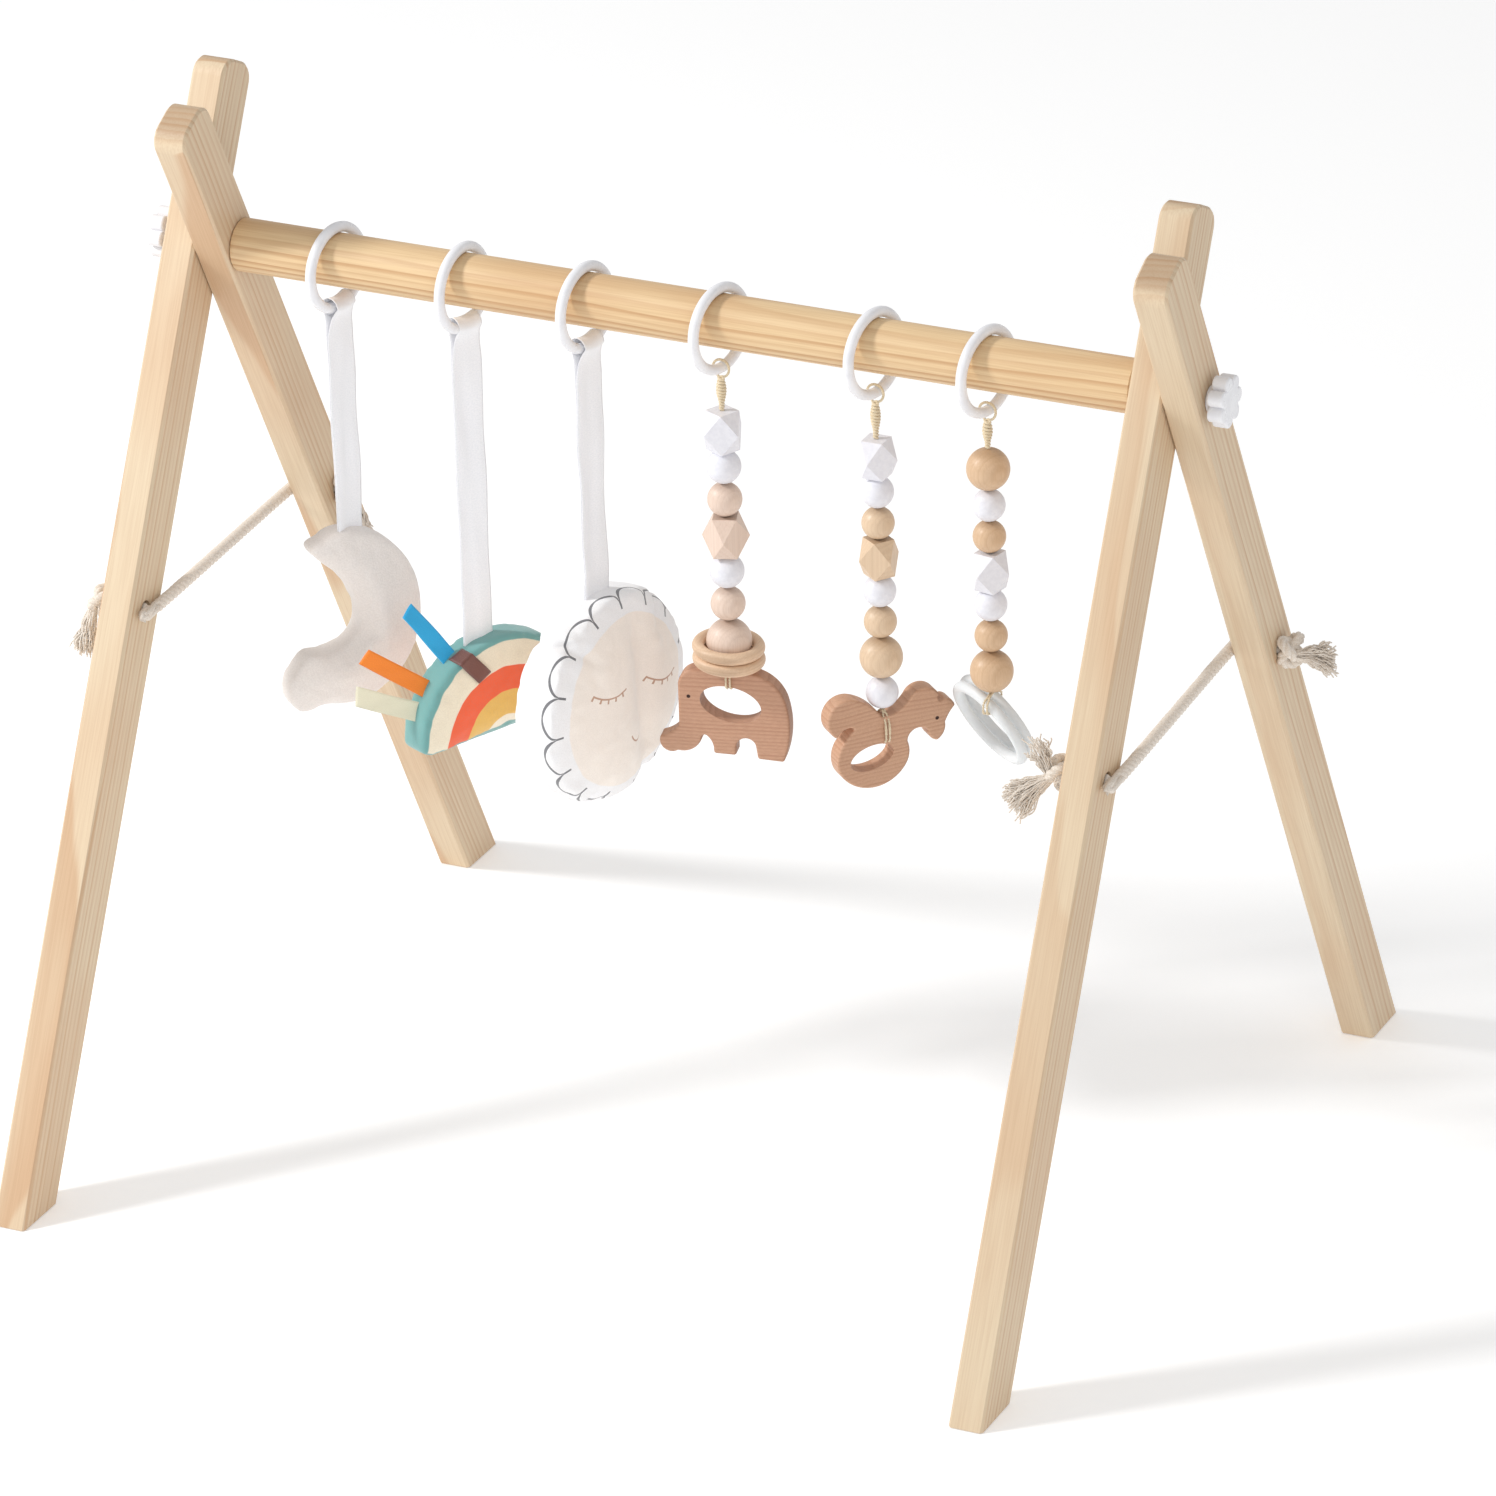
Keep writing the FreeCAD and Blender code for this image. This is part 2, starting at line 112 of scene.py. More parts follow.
def bump(tree, shader, height, distance, strength=1.0):
    node = add(tree, "ShaderNodeBump", {"Height": height, "Distance": distance, "Strength": strength})
    tree.links.new(node.outputs[0], shader.inputs["Normal"])


def dress(node, finish):
    """Give a frame node its material."""
    piece = bpy.data.objects[node]
    piece.data.materials.clear()
    piece.data.materials.append(finish)
    return piece


wood_tree, given, result = new_group(
    "Wood figure",
    "ShaderNodeTree",
    [("Vector", "Vector"), ("Ring width", "Float"), ("Heart", "Vector"), ("Knot", "Vector")],
    [("Late wood", "Float"), ("Fibre", "Float"), ("Knot", "Float"), ("Height", "Float")],
)
slow = add(
    wood_tree, "ShaderNodeVectorMath", {0: given.outputs["Vector"], 1: (1, 1, 0.16)}, operation="MULTIPLY"
)
wander = add(wood_tree, "ShaderNodeTexNoise", {"Vector": slow.outputs[0], "Scale": 16.0, "Detail": 2.0})
push = add(
    wood_tree,
    "ShaderNodeVectorMath",
    {0: wander.outputs["Color"], 1: (0.5, 0.5, 0.5)},
    operation="SUBTRACT",
)
push = add(wood_tree, "ShaderNodeVectorMath", {0: push.outputs[0], "Scale": 0.016}, operation="SCALE")
bent = add(
    wood_tree, "ShaderNodeVectorMath", {0: given.outputs["Vector"], 1: push.outputs[0]}, operation="ADD"
)
to_heart = add(
    wood_tree, "ShaderNodeVectorMath", {0: bent.outputs[0], 1: given.outputs["Heart"]}, operation="SUBTRACT"
)
across = add(
    wood_tree, "ShaderNodeVectorMath", {0: to_heart.outputs[0], 1: (1, 1, 0.02)}, operation="MULTIPLY"
)
radius = add(wood_tree, "ShaderNodeVectorMath", {0: across.outputs[0]}, operation="LENGTH").outputs["Value"]
to_knot = add(
    wood_tree,
    "ShaderNodeVectorMath",
    {0: given.outputs["Vector"], 1: given.outputs["Knot"]},
    operation="SUBTRACT",
)
to_knot = add(
    wood_tree, "ShaderNodeVectorMath", {0: to_knot.outputs[0], 1: (1, 1, 0.5)}, operation="MULTIPLY"
)
knot_far = add(
    wood_tree, "ShaderNodeVectorMath", {0: to_knot.outputs[0]}, operation="LENGTH"
).outputs["Value"]
swell = ramp(wood_tree, knot_far, 0.002, 0.024, 0.0075, 0.0)
rings = math_node(
    wood_tree, "DIVIDE", math_node(wood_tree, "ADD", radius, swell), given.outputs["Ring width"]
)
phase = math_node(wood_tree, "FRACT", rings)
rise, drop = ramp(wood_tree, phase, 0.25, 0.88), ramp(wood_tree, phase, 0.9, 1.0, 1.0, 0.0)
late = math_node(wood_tree, "MULTIPLY", rise, drop)
year = add(
    wood_tree, "ShaderNodeTexWhiteNoise", {"W": math_node(wood_tree, "FLOOR", rings)}, noise_dimensions="1D"
)
late = math_node(wood_tree, "MULTIPLY", late, ramp(wood_tree, year.outputs["Value"], 0, 1, 0.35, 1.0))
thin = add(
    wood_tree, "ShaderNodeVectorMath", {0: given.outputs["Vector"], 1: (1, 1, 0.018)}, operation="MULTIPLY"
)
fibre = add(wood_tree, "ShaderNodeTexNoise", {"Vector": thin.outputs[0], "Scale": 1300.0, "Detail": 3.0})
core = ramp(wood_tree, knot_far, 0.0012, 0.0034, 1.0, 0.0)
height = math_node(wood_tree, "ADD", math_node(wood_tree, "MULTIPLY", late, 0.5), fibre.outputs["Fac"])
for label, socket in (
    ("Late wood", late), ("Fibre", fibre.outputs["Fac"]), ("Knot", core), ("Height", height)
):
    wood_tree.links.new(socket, result.inputs[label])


def timber(name, turn, heart, ring_width, light, dark, knot=(9, 9, 9), contrast=0.62, rough=0.5):
    """Wood whose grain runs along Z once the object coordinates are turned."""
    made, tree, shader = material(name)
    where = add(tree, "ShaderNodeTexCoord")
    spun = add(
        tree,
        "ShaderNodeMapping",
        {"Vector": where.outputs["Object"], "Rotation": turn},
        vector_type="POINT",
    )
    values = {"Vector": spun.outputs[0], "Ring width": ring_width, "Heart": heart, "Knot": knot}
    figure = tree.nodes.new("ShaderNodeGroup")
    figure.node_tree = wood_tree
    for key, value in values.items():
        if isinstance(value, bpy.types.NodeSocket):
            tree.links.new(value, figure.inputs[key])
        else:
            figure.inputs[key].default_value = value
    late_part = math_node(tree, "MULTIPLY", figure.outputs["Late wood"], contrast)
    colour = blend_colour(tree, late_part, light, dark)
    patch = add(tree, "ShaderNodeTexNoise", {"Vector": spun.outputs[0], "Scale": 9.0, "Detail": 1.0})
    warm = tuple(c * k for c, k in zip(dark[:3], (1.14, 1.2, 1.3))) + (1,)
    colour = blend_colour(tree, ramp(tree, patch.outputs["Fac"], 0.35, 0.75, 0.0, 0.3), colour, warm)
    streak = ramp(tree, figure.outputs["Fibre"], 0.3, 0.75, 0.0, 0.22)
    colour = blend_colour(tree, streak, colour, tuple(c * 0.8 for c in dark[:3]) + (1,))
    colour = blend_colour(
        tree, math_node(tree, "MULTIPLY", figure.outputs["Knot"], 0.85), colour, linear(120, 76, 44)
    )
    facing = add(
        tree,
        "ShaderNodeMapping",
        {"Vector": where.outputs["Normal"], "Rotation": turn},
        vector_type="NORMAL",
    )
    along = add(tree, "ShaderNodeSeparateXYZ", {0: facing.outputs[0]}).outputs["Z"]
    end = ramp(tree, math_node(tree, "ABSOLUTE", along), 0.6, 0.95, 0.0, 0.5)
    colour = blend_colour(tree, end, colour, tuple(c * 0.62 for c in dark[:3]) + (1,))
    tree.links.new(colour, shader.inputs["Base Color"])
    tree.links.new(
        ramp(tree, figure.outputs["Fibre"], 0.2, 0.8, rough - 0.06, rough + 0.1), shader.inputs["Roughness"]
    )
    bump(tree, shader, figure.outputs["Height"], 0.00012, 0.5)
    return made


PINE_LIGHT, PINE_DARK = linear(222, 202, 172), linear(196, 152, 112)

# ---------------------------------------------------------------- the four legs
# Square pine bars with broken edges. Each has its own heart and knots, so that no two match.
for node, lean, heart, knot in (
    ("leg_front_left", 27, (-0.345, 0.26, 0), (-0.29, 0.224, 0.23)),
    ("leg_back_left", -27, (-0.31, -0.175, 0), (-0.27, -0.236, 0.27)),
    ("leg_front_right", 27, (0.245, 0.265, 0), (0.29, 0.228, 0.16)),
    ("leg_back_right", -27, (0.345, -0.262, 0), (0.312, -0.218, 0.2)),
):
    dress(
        node, timber(node + "_pine", (math.radians(lean), 0, 0), heart, 0.0042, PINE_LIGHT, PINE_DARK, knot)
    )

# ---------------------------------------------------------------- the bar
# A pine dowel sawn well off the heart of the trunk, which gives it long pointed arches of grain.
bar_turn = (0, math.radians(-90), 0)
dress(
    "bar",
    timber(
        "bar_pine",
        bar_turn,
        (0.52, 0.004, 0),
        0.0046,
        linear(228, 198, 154),
        linear(184, 134, 88),
        contrast=0.75,
        rough=0.45,
    ),
)

# ---------------------------------------------------------------- knobs, studs and inserts
# White moulded knobs on zinc-plated steel studs, which screw into brass inserts in the bar's ends.
white_plastic, tree, shader = material("white_plastic")
grime = add(tree, "ShaderNodeTexNoise", {"Vector": object_space(tree), "Scale": 120.0, "Detail": 3.0})
tree.links.new(
    blend_colour(
        tree, ramp(tree, grime.outputs["Fac"], 0.3, 0.8), linear(240, 240, 243), linear(230, 230, 234)
    ),
    shader.inputs["Base Color"],
)
tree.links.new(ramp(tree, grime.outputs["Fac"], 0.3, 0.7, 0.24, 0.34), shader.inputs["Roughness"])
shader.inputs["Subsurface Weight"].default_value = 0.15
shader.inputs["Subsurface Radius"].default_value = (0.002, 0.002, 0.002)
bump(tree, shader, grime.outputs["Fac"], 0.00005, 0.3)
for side in ("left", "right"):
    dress("knob_" + side, white_plastic)

for name, colour, rough in (("zinc", linear(190, 192, 198), 0.32), ("brass", linear(200, 168, 96), 0.3)):
    made, tree, shader = material(name)
    turned = add(tree, "ShaderNodeTexCoord")
    lines = add(
        tree, "ShaderNodeVectorMath", {0: turned.outputs["Object"], 1: (3000, 60, 60)}, operation="MULTIPLY"
    )
    marks = add(tree, "ShaderNodeTexNoise", {"Vector": lines.outputs[0], "Scale": 1.0, "Detail": 2.0})
    tree.links.new(
        blend_colour(
            tree,
            ramp(tree, marks.outputs["Fac"], 0.3, 0.7, 0, 0.4),
            colour,
            tuple(c * 0.7 for c in colour[:3]) + (1,),
        ),
        shader.inputs["Base Color"],
    )
    tree.links.new(
        ramp(tree, marks.outputs["Fac"], 0.2, 0.8, rough, rough + 0.15), shader.inputs["Roughness"]
    )
    shader.inputs["Metallic"].default_value = 1.0
    if name == "zinc":
        dress("knob_stud_left", made), dress("knob_stud_right", made)
    else:
        dress("bar_inserts", made)


# ---------------------------------------------------------------- side ropes
# Three-strand cotton rope through the holes in each pair of legs. A Geometry Nodes group twists
# strands round a line; the cords and frayed ends below use it too.
def smooth_line(points, step=0.001):
    """Points close together on a smooth curve through the given ones."""
    points = [Vector(p) for p in points]
    ends = [points[0] * 2 - points[1]] + points + [points[-1] * 2 - points[-2]]
    line = []
    for a, b, c, d in zip(ends, ends[1:], ends[2:], ends[3:]):
        count = max(2, int((c - b).length / step))
        for i in range(count):
            t = i / count
            line.append(
                0.5 * (
                    2 * b + (c - a) * t + (2 * a - 5 * b + 4 * c - d) * t * t + (
                        3 * b - a - 3 * c + d
                    ) * t**3
                )
            )
    return line + [points[-1]]


twist_tree, given, result = new_group(
    "Twisted strands",
    "GeometryNodeTree",
    [
        ("Line", "Geometry"),
        ("Strands", "Int"),
        ("Strand radius", "Float"),
        ("Lay radius", "Float"),
        ("Pitch", "Float"),
        ("Sides", "Int"),
        ("Finish", "Material"),
    ],
    [("Mesh", "Geometry")],
)
dense = add(
    twist_tree,
    "GeometryNodeDuplicateElements",
    {"Geometry": given.outputs["Line"], "Amount": given.outputs["Strands"]},
    domain="SPLINE",
)
length = twist_tree.nodes.new("GeometryNodeSplineParameter").outputs["Length"]
turns = math_node(
    twist_tree, "MULTIPLY", math_node(twist_tree, "DIVIDE", length, given.outputs["Pitch"]), 2 * math.pi
)
share = math_node(twist_tree, "DIVIDE", dense.outputs["Duplicate Index"], given.outputs["Strands"])
angle = math_node(twist_tree, "ADD", turns, math_node(twist_tree, "MULTIPLY", share, 2 * math.pi))
tangent = twist_tree.nodes.new("GeometryNodeInputTangent").outputs[0]
normal = twist_tree.nodes.new("GeometryNodeInputNormal").outputs[0]
side = add(twist_tree, "ShaderNodeVectorMath", {0: tangent, 1: normal}, operation="CROSS_PRODUCT")
out_a = add(
    twist_tree,
    "ShaderNodeVectorMath",
    {0: normal, "Scale": math_node(twist_tree, "COSINE", angle)},
    operation="SCALE",
)
out_b = add(
    twist_tree,
    "ShaderNodeVectorMath",
    {0: side.outputs[0], "Scale": math_node(twist_tree, "SINE", angle)},
    operation="SCALE",
)
out = add(twist_tree, "ShaderNodeVectorMath", {0: out_a.outputs[0], 1: out_b.outputs[0]}, operation="ADD")
out = add(
    twist_tree,
    "ShaderNodeVectorMath",
    {0: out.outputs[0], "Scale": given.outputs["Lay radius"]},
    operation="SCALE",
)
laid = add(
    twist_tree, "GeometryNodeSetPosition", {"Geometry": dense.outputs["Geometry"], "Offset": out.outputs[0]}
)
profile = add(
    twist_tree,
    "GeometryNodeCurvePrimitiveCircle",
    {"Resolution": given.outputs["Sides"], "Radius": given.outputs["Strand radius"]},
)
tube = add(
    twist_tree,
    "GeometryNodeCurveToMesh",
    {"Curve": laid.outputs[0], "Profile Curve": profile.outputs[0], "Fill Caps": True},
)
soft = add(twist_tree, "GeometryNodeSetShadeSmooth", {0: tube.outputs[0]})
finished = add(
    twist_tree,
    "GeometryNodeSetMaterial",
    {"Geometry": soft.outputs[0], "Material": given.outputs["Finish"]},
)
twist_tree.links.new(finished.outputs[0], result.inputs["Mesh"])


def as_mesh(piece):
    """A plain mesh object of what the modifiers make; the source is removed."""
    mesh = bpy.data.meshes.new_from_object(piece.evaluated_get(bpy.context.evaluated_depsgraph_get()))
    name, old = piece.name, piece.data
    piece.name = name + "_source"
    made = bpy.data.objects.new(name, mesh)
    bpy.context.scene.collection.objects.link(made)
    bpy.data.objects.remove(piece)
    (bpy.data.curves if isinstance(old, bpy.types.Curve) else bpy.data.meshes).remove(old)
    return made


def twisted(name, lines, strands, strand_radius, lay_radius, pitch, finish, sides=8):
    """Strands twisted along each line of points."""
    curve = bpy.data.curves.new(name, "CURVE")
    curve.dimensions = "3D"
    for line in lines:
        spline = curve.splines.new("POLY")
        spline.points.add(len(line) - 1)
        spline.points.foreach_set("co", [c for p in line for c in (*p, 1)])
    piece = bpy.data.objects.new(name, curve)
    bpy.context.scene.collection.objects.link(piece)
    modifier = piece.modifiers.new("Twist", "NODES")
    modifier.node_group = twist_tree
    values = {
        "Strands": strands,
        "Strand radius": strand_radius,
        "Lay radius": lay_radius,
        "Pitch": pitch,
        "Sides": sides,
        "Finish": finish,
    }
    for item in twist_tree.interface.items_tree:
        if item.in_out == "INPUT" and item.name in values:
            modifier[item.identifier] = values[item.name]
    bpy.context.view_layer.update()
    return as_mesh(piece)


def yarn(name, light, dark, scale, distance):
    """Matt cotton: fine fibres, and hollows between them darkened with painted shade."""
    made, tree, shader = material(name)
    fuzz_and_hollow_shade = add(
        tree,
        "ShaderNodeTexNoise",
        {"Vector": object_space(tree), "Scale": scale, "Detail": 4.0, "Roughness": 0.7},
    )
    # painted shade: where the fibre noise, which is also the bump height, is low, the colour goes to the
    # dark one, as in shaded hollows
    tree.links.new(
        blend_colour(tree, ramp(tree, fuzz_and_hollow_shade.outputs["Fac"], 0.3, 0.7), dark, light),
        shader.inputs["Base Color"],
    )
    shader.inputs["Roughness"].default_value = 0.92
    shader.inputs["Sheen Weight"].default_value = 0.3
    bump(tree, shader, fuzz_and_hollow_shade.outputs["Fac"], distance, 0.7)
    return made


rope_y, rope_z = 0.0944, 0.3047  # the holes in the legs
outer_x, inner_x = 0.3107, 0.2697  # the legs' faces where the knots sit
rope_cotton = yarn("rope_cotton", linear(242, 234, 224), linear(216, 202, 186), 1500.0, 0.0003)
for name, side, leg in (("rope_left", 1, "back_left_leg"), ("rope_right", -1, "back_right_leg")):
    route = [
        (-outer_x * side, -rope_y * side, rope_z),
        (-0.2903 * side, -rope_y * side, rope_z),
        (-0.2861 * side, -0.090 * side, rope_z),
        (-0.2943 * side, 0.090 * side, rope_z),
        (-0.2905 * side, rope_y * side, rope_z),
        (-inner_x * side, rope_y * side, rope_z),
    ]
    centre = smooth_line(route)
    rope = twisted(name + "_strands", [centre], 3, 0.002, 0.0016, 0.014, rope_cotton)
    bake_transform(rope)
    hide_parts(name)
    run = sum((b - a).length for a, b in zip(centre, centre[1:]))


# ---------------------------------------------------------------- rope knots
# Each rope end is an overhand knot pulled against the leg, with the strands frayed beyond it.
def overhand(centre, out, size, start):
    """A trefoil path lying against a leg, its axis along X."""
    line = [Vector(start)]
    for i in range(3, 59):
        t = 2 * math.pi * i / 62
        flat = (math.sin(t) + 2 * math.sin(2 * t), math.cos(t) - 2 * math.cos(2 * t), -math.sin(3 * t))
        line.append(Vector(centre) + Vector((out * flat[2] * 1.35, flat[0], flat[1])) * size)
    return line


def frayed(root, direction, reach, spread, count, seed):
    """Loose yarns that leave a rope's end and spread as they go."""
    rng = random.Random(seed)
    direction = Vector(direction).normalized()
    across = direction.orthogonal().normalized()
    up = direction.cross(across)
    lines = []
    for i in range(count):
        a, r = rng.uniform(0, 2 * math.pi), math.sqrt(rng.random())
        aim = across * math.cos(a) + up * math.sin(a)
        long = reach * rng.uniform(0.7, 1.0)
        wave, turn = rng.uniform(0.6, 1.6), rng.uniform(0, 6.3)
        line = []
        for j in range(13):
            t = j / 12
            curl = 0.0016 * t
            wobble = curl * math.sin(turn + 11 * wave * t)
            sag = Vector((0, 0, -1)) * (0.18 * long * t * t)
            line.append(
                Vector(root) + direction * long * t + aim * (
                    0.0022 * r + spread * r * t**1.2 + wobble
                ) + up * curl * math.cos(turn + 11 * wave * t) + sag
            )
        lines.append(line)
    return lines


for name, body, x, y, out, tail, reach, spread in (
    ("knot_front_left", "front_frame", -outer_x, -rope_y, -1, (-0.25, -0.2, -1), 0.025, 0.0045),
    ("knot_back_left", "back_left_leg", -inner_x, rope_y, 1, (0.3, 0.1, -1), 0.024, 0.004),
    ("knot_front_right", "front_frame", inner_x, -rope_y, -1, (-0.6, -0.3, -0.35), 0.026, 0.0085),
    ("knot_back_right", "back_right_leg", outer_x, rope_y, 1, (0.9, 0.3, 0.1), 0.024, 0.007),
):
    middle = (x + out * 0.0062, y, rope_z)
    path = overhand(middle, out, 0.0028, (x, y, rope_z))
    coil = twisted(name + "_coil", [path], 3, 0.0017, 0.0014, 0.012, rope_cotton)
    ends = frayed(path[-1], tail, reach, spread, 130, name)
    if name == "knot_front_right":
        ends += frayed(path[-1], (-0.35, 0, 1), 0.028, 0.006, 45, "up")
    fray = twisted(name + "_fray", ends, 1, 0.00042, 0.0, 1.0, rope_cotton, sides=5)
    for piece in (coil, fray):
        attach(piece, body)
        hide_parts(name)

# ---------------------------------------------------------------- rings on the bar
# Six glossy moulded rings, all alike.
ring_foot = 0.4621  # height of the middle of the tube at the lowest point of each ring
for toy in ("moon", "rainbow", "face", "elephant", "horse", "beads"):
    dress("ring_" + toy, white_plastic)


# ---------------------------------------------------------------- ribbons
# Doubled satin ribbon: it goes up the front, round the bottom of the ring, and down the back, and
# both ends are sewn into the toy. Soft waves run down its length.
def satin(name, light, shade):
    made, tree, shader = material(name)
    where = add(tree, "ShaderNodeUVMap", uv_map="Weave")
    fine = add(tree, "ShaderNodeVectorMath", {0: where.outputs[0], 1: (900, 2600, 1)}, operation="MULTIPLY")
    threads = add(tree, "ShaderNodeTexNoise", {"Vector": fine.outputs[0], "Scale": 1.0, "Detail": 1.0})
    tree.links.new(
        blend_colour(tree, ramp(tree, threads.outputs["Fac"], 0.3, 0.7), light, shade),
        shader.inputs["Base Color"],
    )
    shader.inputs["Roughness"].default_value = 0.42
    shader.inputs["Sheen Weight"].default_value = 0.25
    shader.inputs["Subsurface Weight"].default_value = 0.1
    shader.inputs["Subsurface Radius"].default_value = (0.001, 0.001, 0.001)
    bump(tree, shader, threads.outputs["Fac"], 0.00008, 0.5)
    return made


def strip(name, rows, finish, thickness=0.0004):
    """A band of cloth through rows of points, each row across the band."""
    width, count = len(rows[0]), len(rows)
    vertices = [p for row in rows for p in row]
    faces = [
        (r * width + c, r * width + c + 1, (r + 1) * width + c + 1, (r + 1) * width + c)
        for r in range(count - 1)
        for c in range(width - 1)
    ]
    mesh = bpy.data.meshes.new(name)
    mesh.from_pydata(vertices, [], faces)
    layer = mesh.uv_layers.new(name="Weave")
    for loop in mesh.loops:
        row, column = divmod(loop.vertex_index, width)
        layer.data[loop.index].uv = (column / (width - 1) * 0.02, row / (count - 1) * 0.2)
    piece = bpy.data.objects.new(name, mesh)
    bpy.context.scene.collection.objects.link(piece)
    solid = piece.modifiers.new("Thickness", "SOLIDIFY")
    solid.thickness, solid.offset = thickness, 0.0
    piece = as_mesh(piece)
    piece.data.shade_smooth()
    piece.data.materials.append(finish)
    return piece


white_satin = satin("white_satin", linear(248, 248, 251), linear(240, 241, 245))
for toy, x, turn, end_z, seed in (
    ("moon", -0.211, -10, 0.3235, 3),
    ("rainbow", -0.133, -23, 0.2705, 11),
    ("face", -0.058, -13, 0.3105, 23),
):
    low, width, wrap_radius = ring_foot, 0.021, 0.0058
    turn = math.radians(turn)
    rows = []
    drop = low - end_z
    samples = [("down", i / 60) for i in range(60, 0, -1)] + [("round", i / 16) for i in range(17)] + [
        ("up", i / 60) for i in range(1, 61)
    ]
    for part, t in samples:
        row = []
        for c in range(15):
            u = (c / 14 - 0.5) * width
            rise = 14.0 * u * u
            if part == "round":
                a = math.pi * t
                out, z = wrap_radius * math.cos(a), wrap_radius * math.sin(a) + rise
            else:
                sign = 1 if part == "down" else -1
                gap = 0.0053 * math.exp(-t * drop / 0.0055) + 0.0005
                wave = 0.0016 * noise.noise(Vector((u * 110, t * drop * 26, seed))) * min(1, t * 6) * min(
                    1, (1.02 - t) * 8
                )
                fold = 0.0009 * math.sin(u * 420 + seed + t * 2) * min(1, t * 3) * (1 - 0.4 * t)
                out, z = sign * gap + wave + fold, -t * drop + rise * max(0, 1 - t * 8)
            u *= 0.76 if part == "round" else 0.76 + 0.24 * min(1, t * 9)
            row.append(
                (
                    x + out * math.cos(turn) - u * math.sin(turn),
                    out * math.sin(turn) + u * math.cos(turn),
                    low + z,
                )
            )
        rows.append(row)
    ribbon = strip("ribbon_%s_cloth" % toy, rows, white_satin)
    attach(ribbon, toy + "_toy")
    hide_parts("ribbon_" + toy)


# ---------------------------------------------------------------- stuffed toys
# Sewn cloth over filling. Each starts from its cut shape, is blown up as cloth, and keeps the sharp
# line and small puckers of the seam round each face.
def smooth_end(z, low, high):
    """1 over the middle of a height and 0 at both of its ends."""
    t = (z - low) / (high - low)
    return max(0.0, min(1.0, t * 5 - 0.2)) * max(0.0, min(1.0, (1 - t) * 5 - 0.2))


def stuffed(name, outline, thickness, pressure, finish, place, crease=None, crown=0.0):
    """A stuffed piece made facing -Y from a flat outline, then placed in the frame."""
    shape = bmesh.new()
    half = thickness / 2
    front = [shape.verts.new((x, -half, z)) for x, z in outline]
    back = [shape.verts.new((x, half, z)) for x, z in outline]
    shape.faces.new(front)
    shape.faces.new(back[::-1])
    for i in range(len(front)):
        j = (i + 1) % len(front)
        shape.faces.new((front[j], front[i], back[i], back[j]))
    bmesh.ops.recalc_face_normals(shape, faces=shape.faces)
    mesh = bpy.data.meshes.new(name)
    shape.to_mesh(mesh)
    shape.free()
    piece = bpy.data.objects.new(name, mesh)
    bpy.context.scene.collection.objects.link(piece)
    remesh = piece.modifiers.new("Even mesh", "REMESH")
    remesh.mode, remesh.voxel_size = "VOXEL", 0.003
    piece = as_mesh(piece)
    start = [v.co.copy() for v in piece.data.vertices]
    cloth = piece.modifiers.new("Filling", "CLOTH")
    cloth.settings.quality = 6
    cloth.settings.mass = 0.3
    cloth.settings.tension_stiffness = cloth.settings.compression_stiffness = 12
    cloth.settings.bending_stiffness = 0.4
    cloth.settings.use_pressure = True
    cloth.settings.uniform_pressure_force = pressure
    cloth.settings.effector_weights.gravity = 0.0
    cloth.point_cache.frame_start, cloth.point_cache.frame_end = 1, 18
    for tick in range(1, 19):
        bpy.context.scene.frame_set(tick)
    piece = as_mesh(piece)
    bpy.context.scene.frame_set(1)
    for vertex, old in zip(piece.data.vertices, start):
        move = vertex.co - old
        if move.length > 0.006 + crown:
            vertex.co = old + move.normalized() * (0.006 + crown)
    fine = piece.modifiers.new("Fine", "SUBSURF")
    fine.levels = fine.render_levels = 1
    piece = as_mesh(piece)
    lows = [min(v.co[k] for v in piece.data.vertices) for k in range(3)]
    highs = [max(v.co[k] for v in piece.data.vertices) for k in range(3)]
    xs, zs = [p[0] for p in outline], [p[1] for p in outline]
    for vertex in piece.data.vertices:
        co = vertex.co
        for k, low, high in ((0, min(xs), max(xs)), (2, min(zs), max(zs))):
            co[k] = low + (co[k] - lows[k]) / (highs[k] - lows[k]) * (high - low)
        pucker = noise.noise(co * 95) * 0.0009 + noise.noise(co * 260) * 0.0003
        co.y += math.copysign(pucker, co.y)
        if crease is not None and co.y < 0:
            across = (co.x - crease - 0.003 * math.sin(co.z * 40)) / 0.0095
            co.y += 0.0075 * math.exp(-across * across) * smooth_end(co.z, min(zs), max(zs))
    piece.data.transform(place)
    piece.data.shade_smooth()
    piece.data.materials.clear()
    piece.data.materials.append(finish)
    return piece


def arc(x, z, radius, first, last, count):
    """Points on a circle's arc, angles in degrees."""
    angles = [math.radians(first + (last - first) * i / count) for i in range(count + 1)]
    return [(x + radius * math.cos(a), z + radius * math.sin(a)) for a in angles]


def placed(x, z, turn):
    return Matrix.Translation((x, 0, z)) @ Matrix.Rotation(math.radians(turn), 4, "Z")


def flat_position(tree, x, z, turn):
    """The object coordinates brought back to a toy made facing -Y: sockets for X, Y and Z."""
    where = object_space(tree)
    moved = add(tree, "ShaderNodeVectorMath", {0: where, 1: (x, 0, z)}, operation="SUBTRACT")
    spun = add(
        tree,
        "ShaderNodeMapping",
        {"Vector": moved.outputs[0], "Rotation": (0, 0, -math.radians(turn))},
        vector_type="POINT",
    )
    parts = add(tree, "ShaderNodeSeparateXYZ", {0: spun.outputs[0]})
    return spun.outputs[0], parts.outputs["X"], parts.outputs["Y"], parts.outputs["Z"]


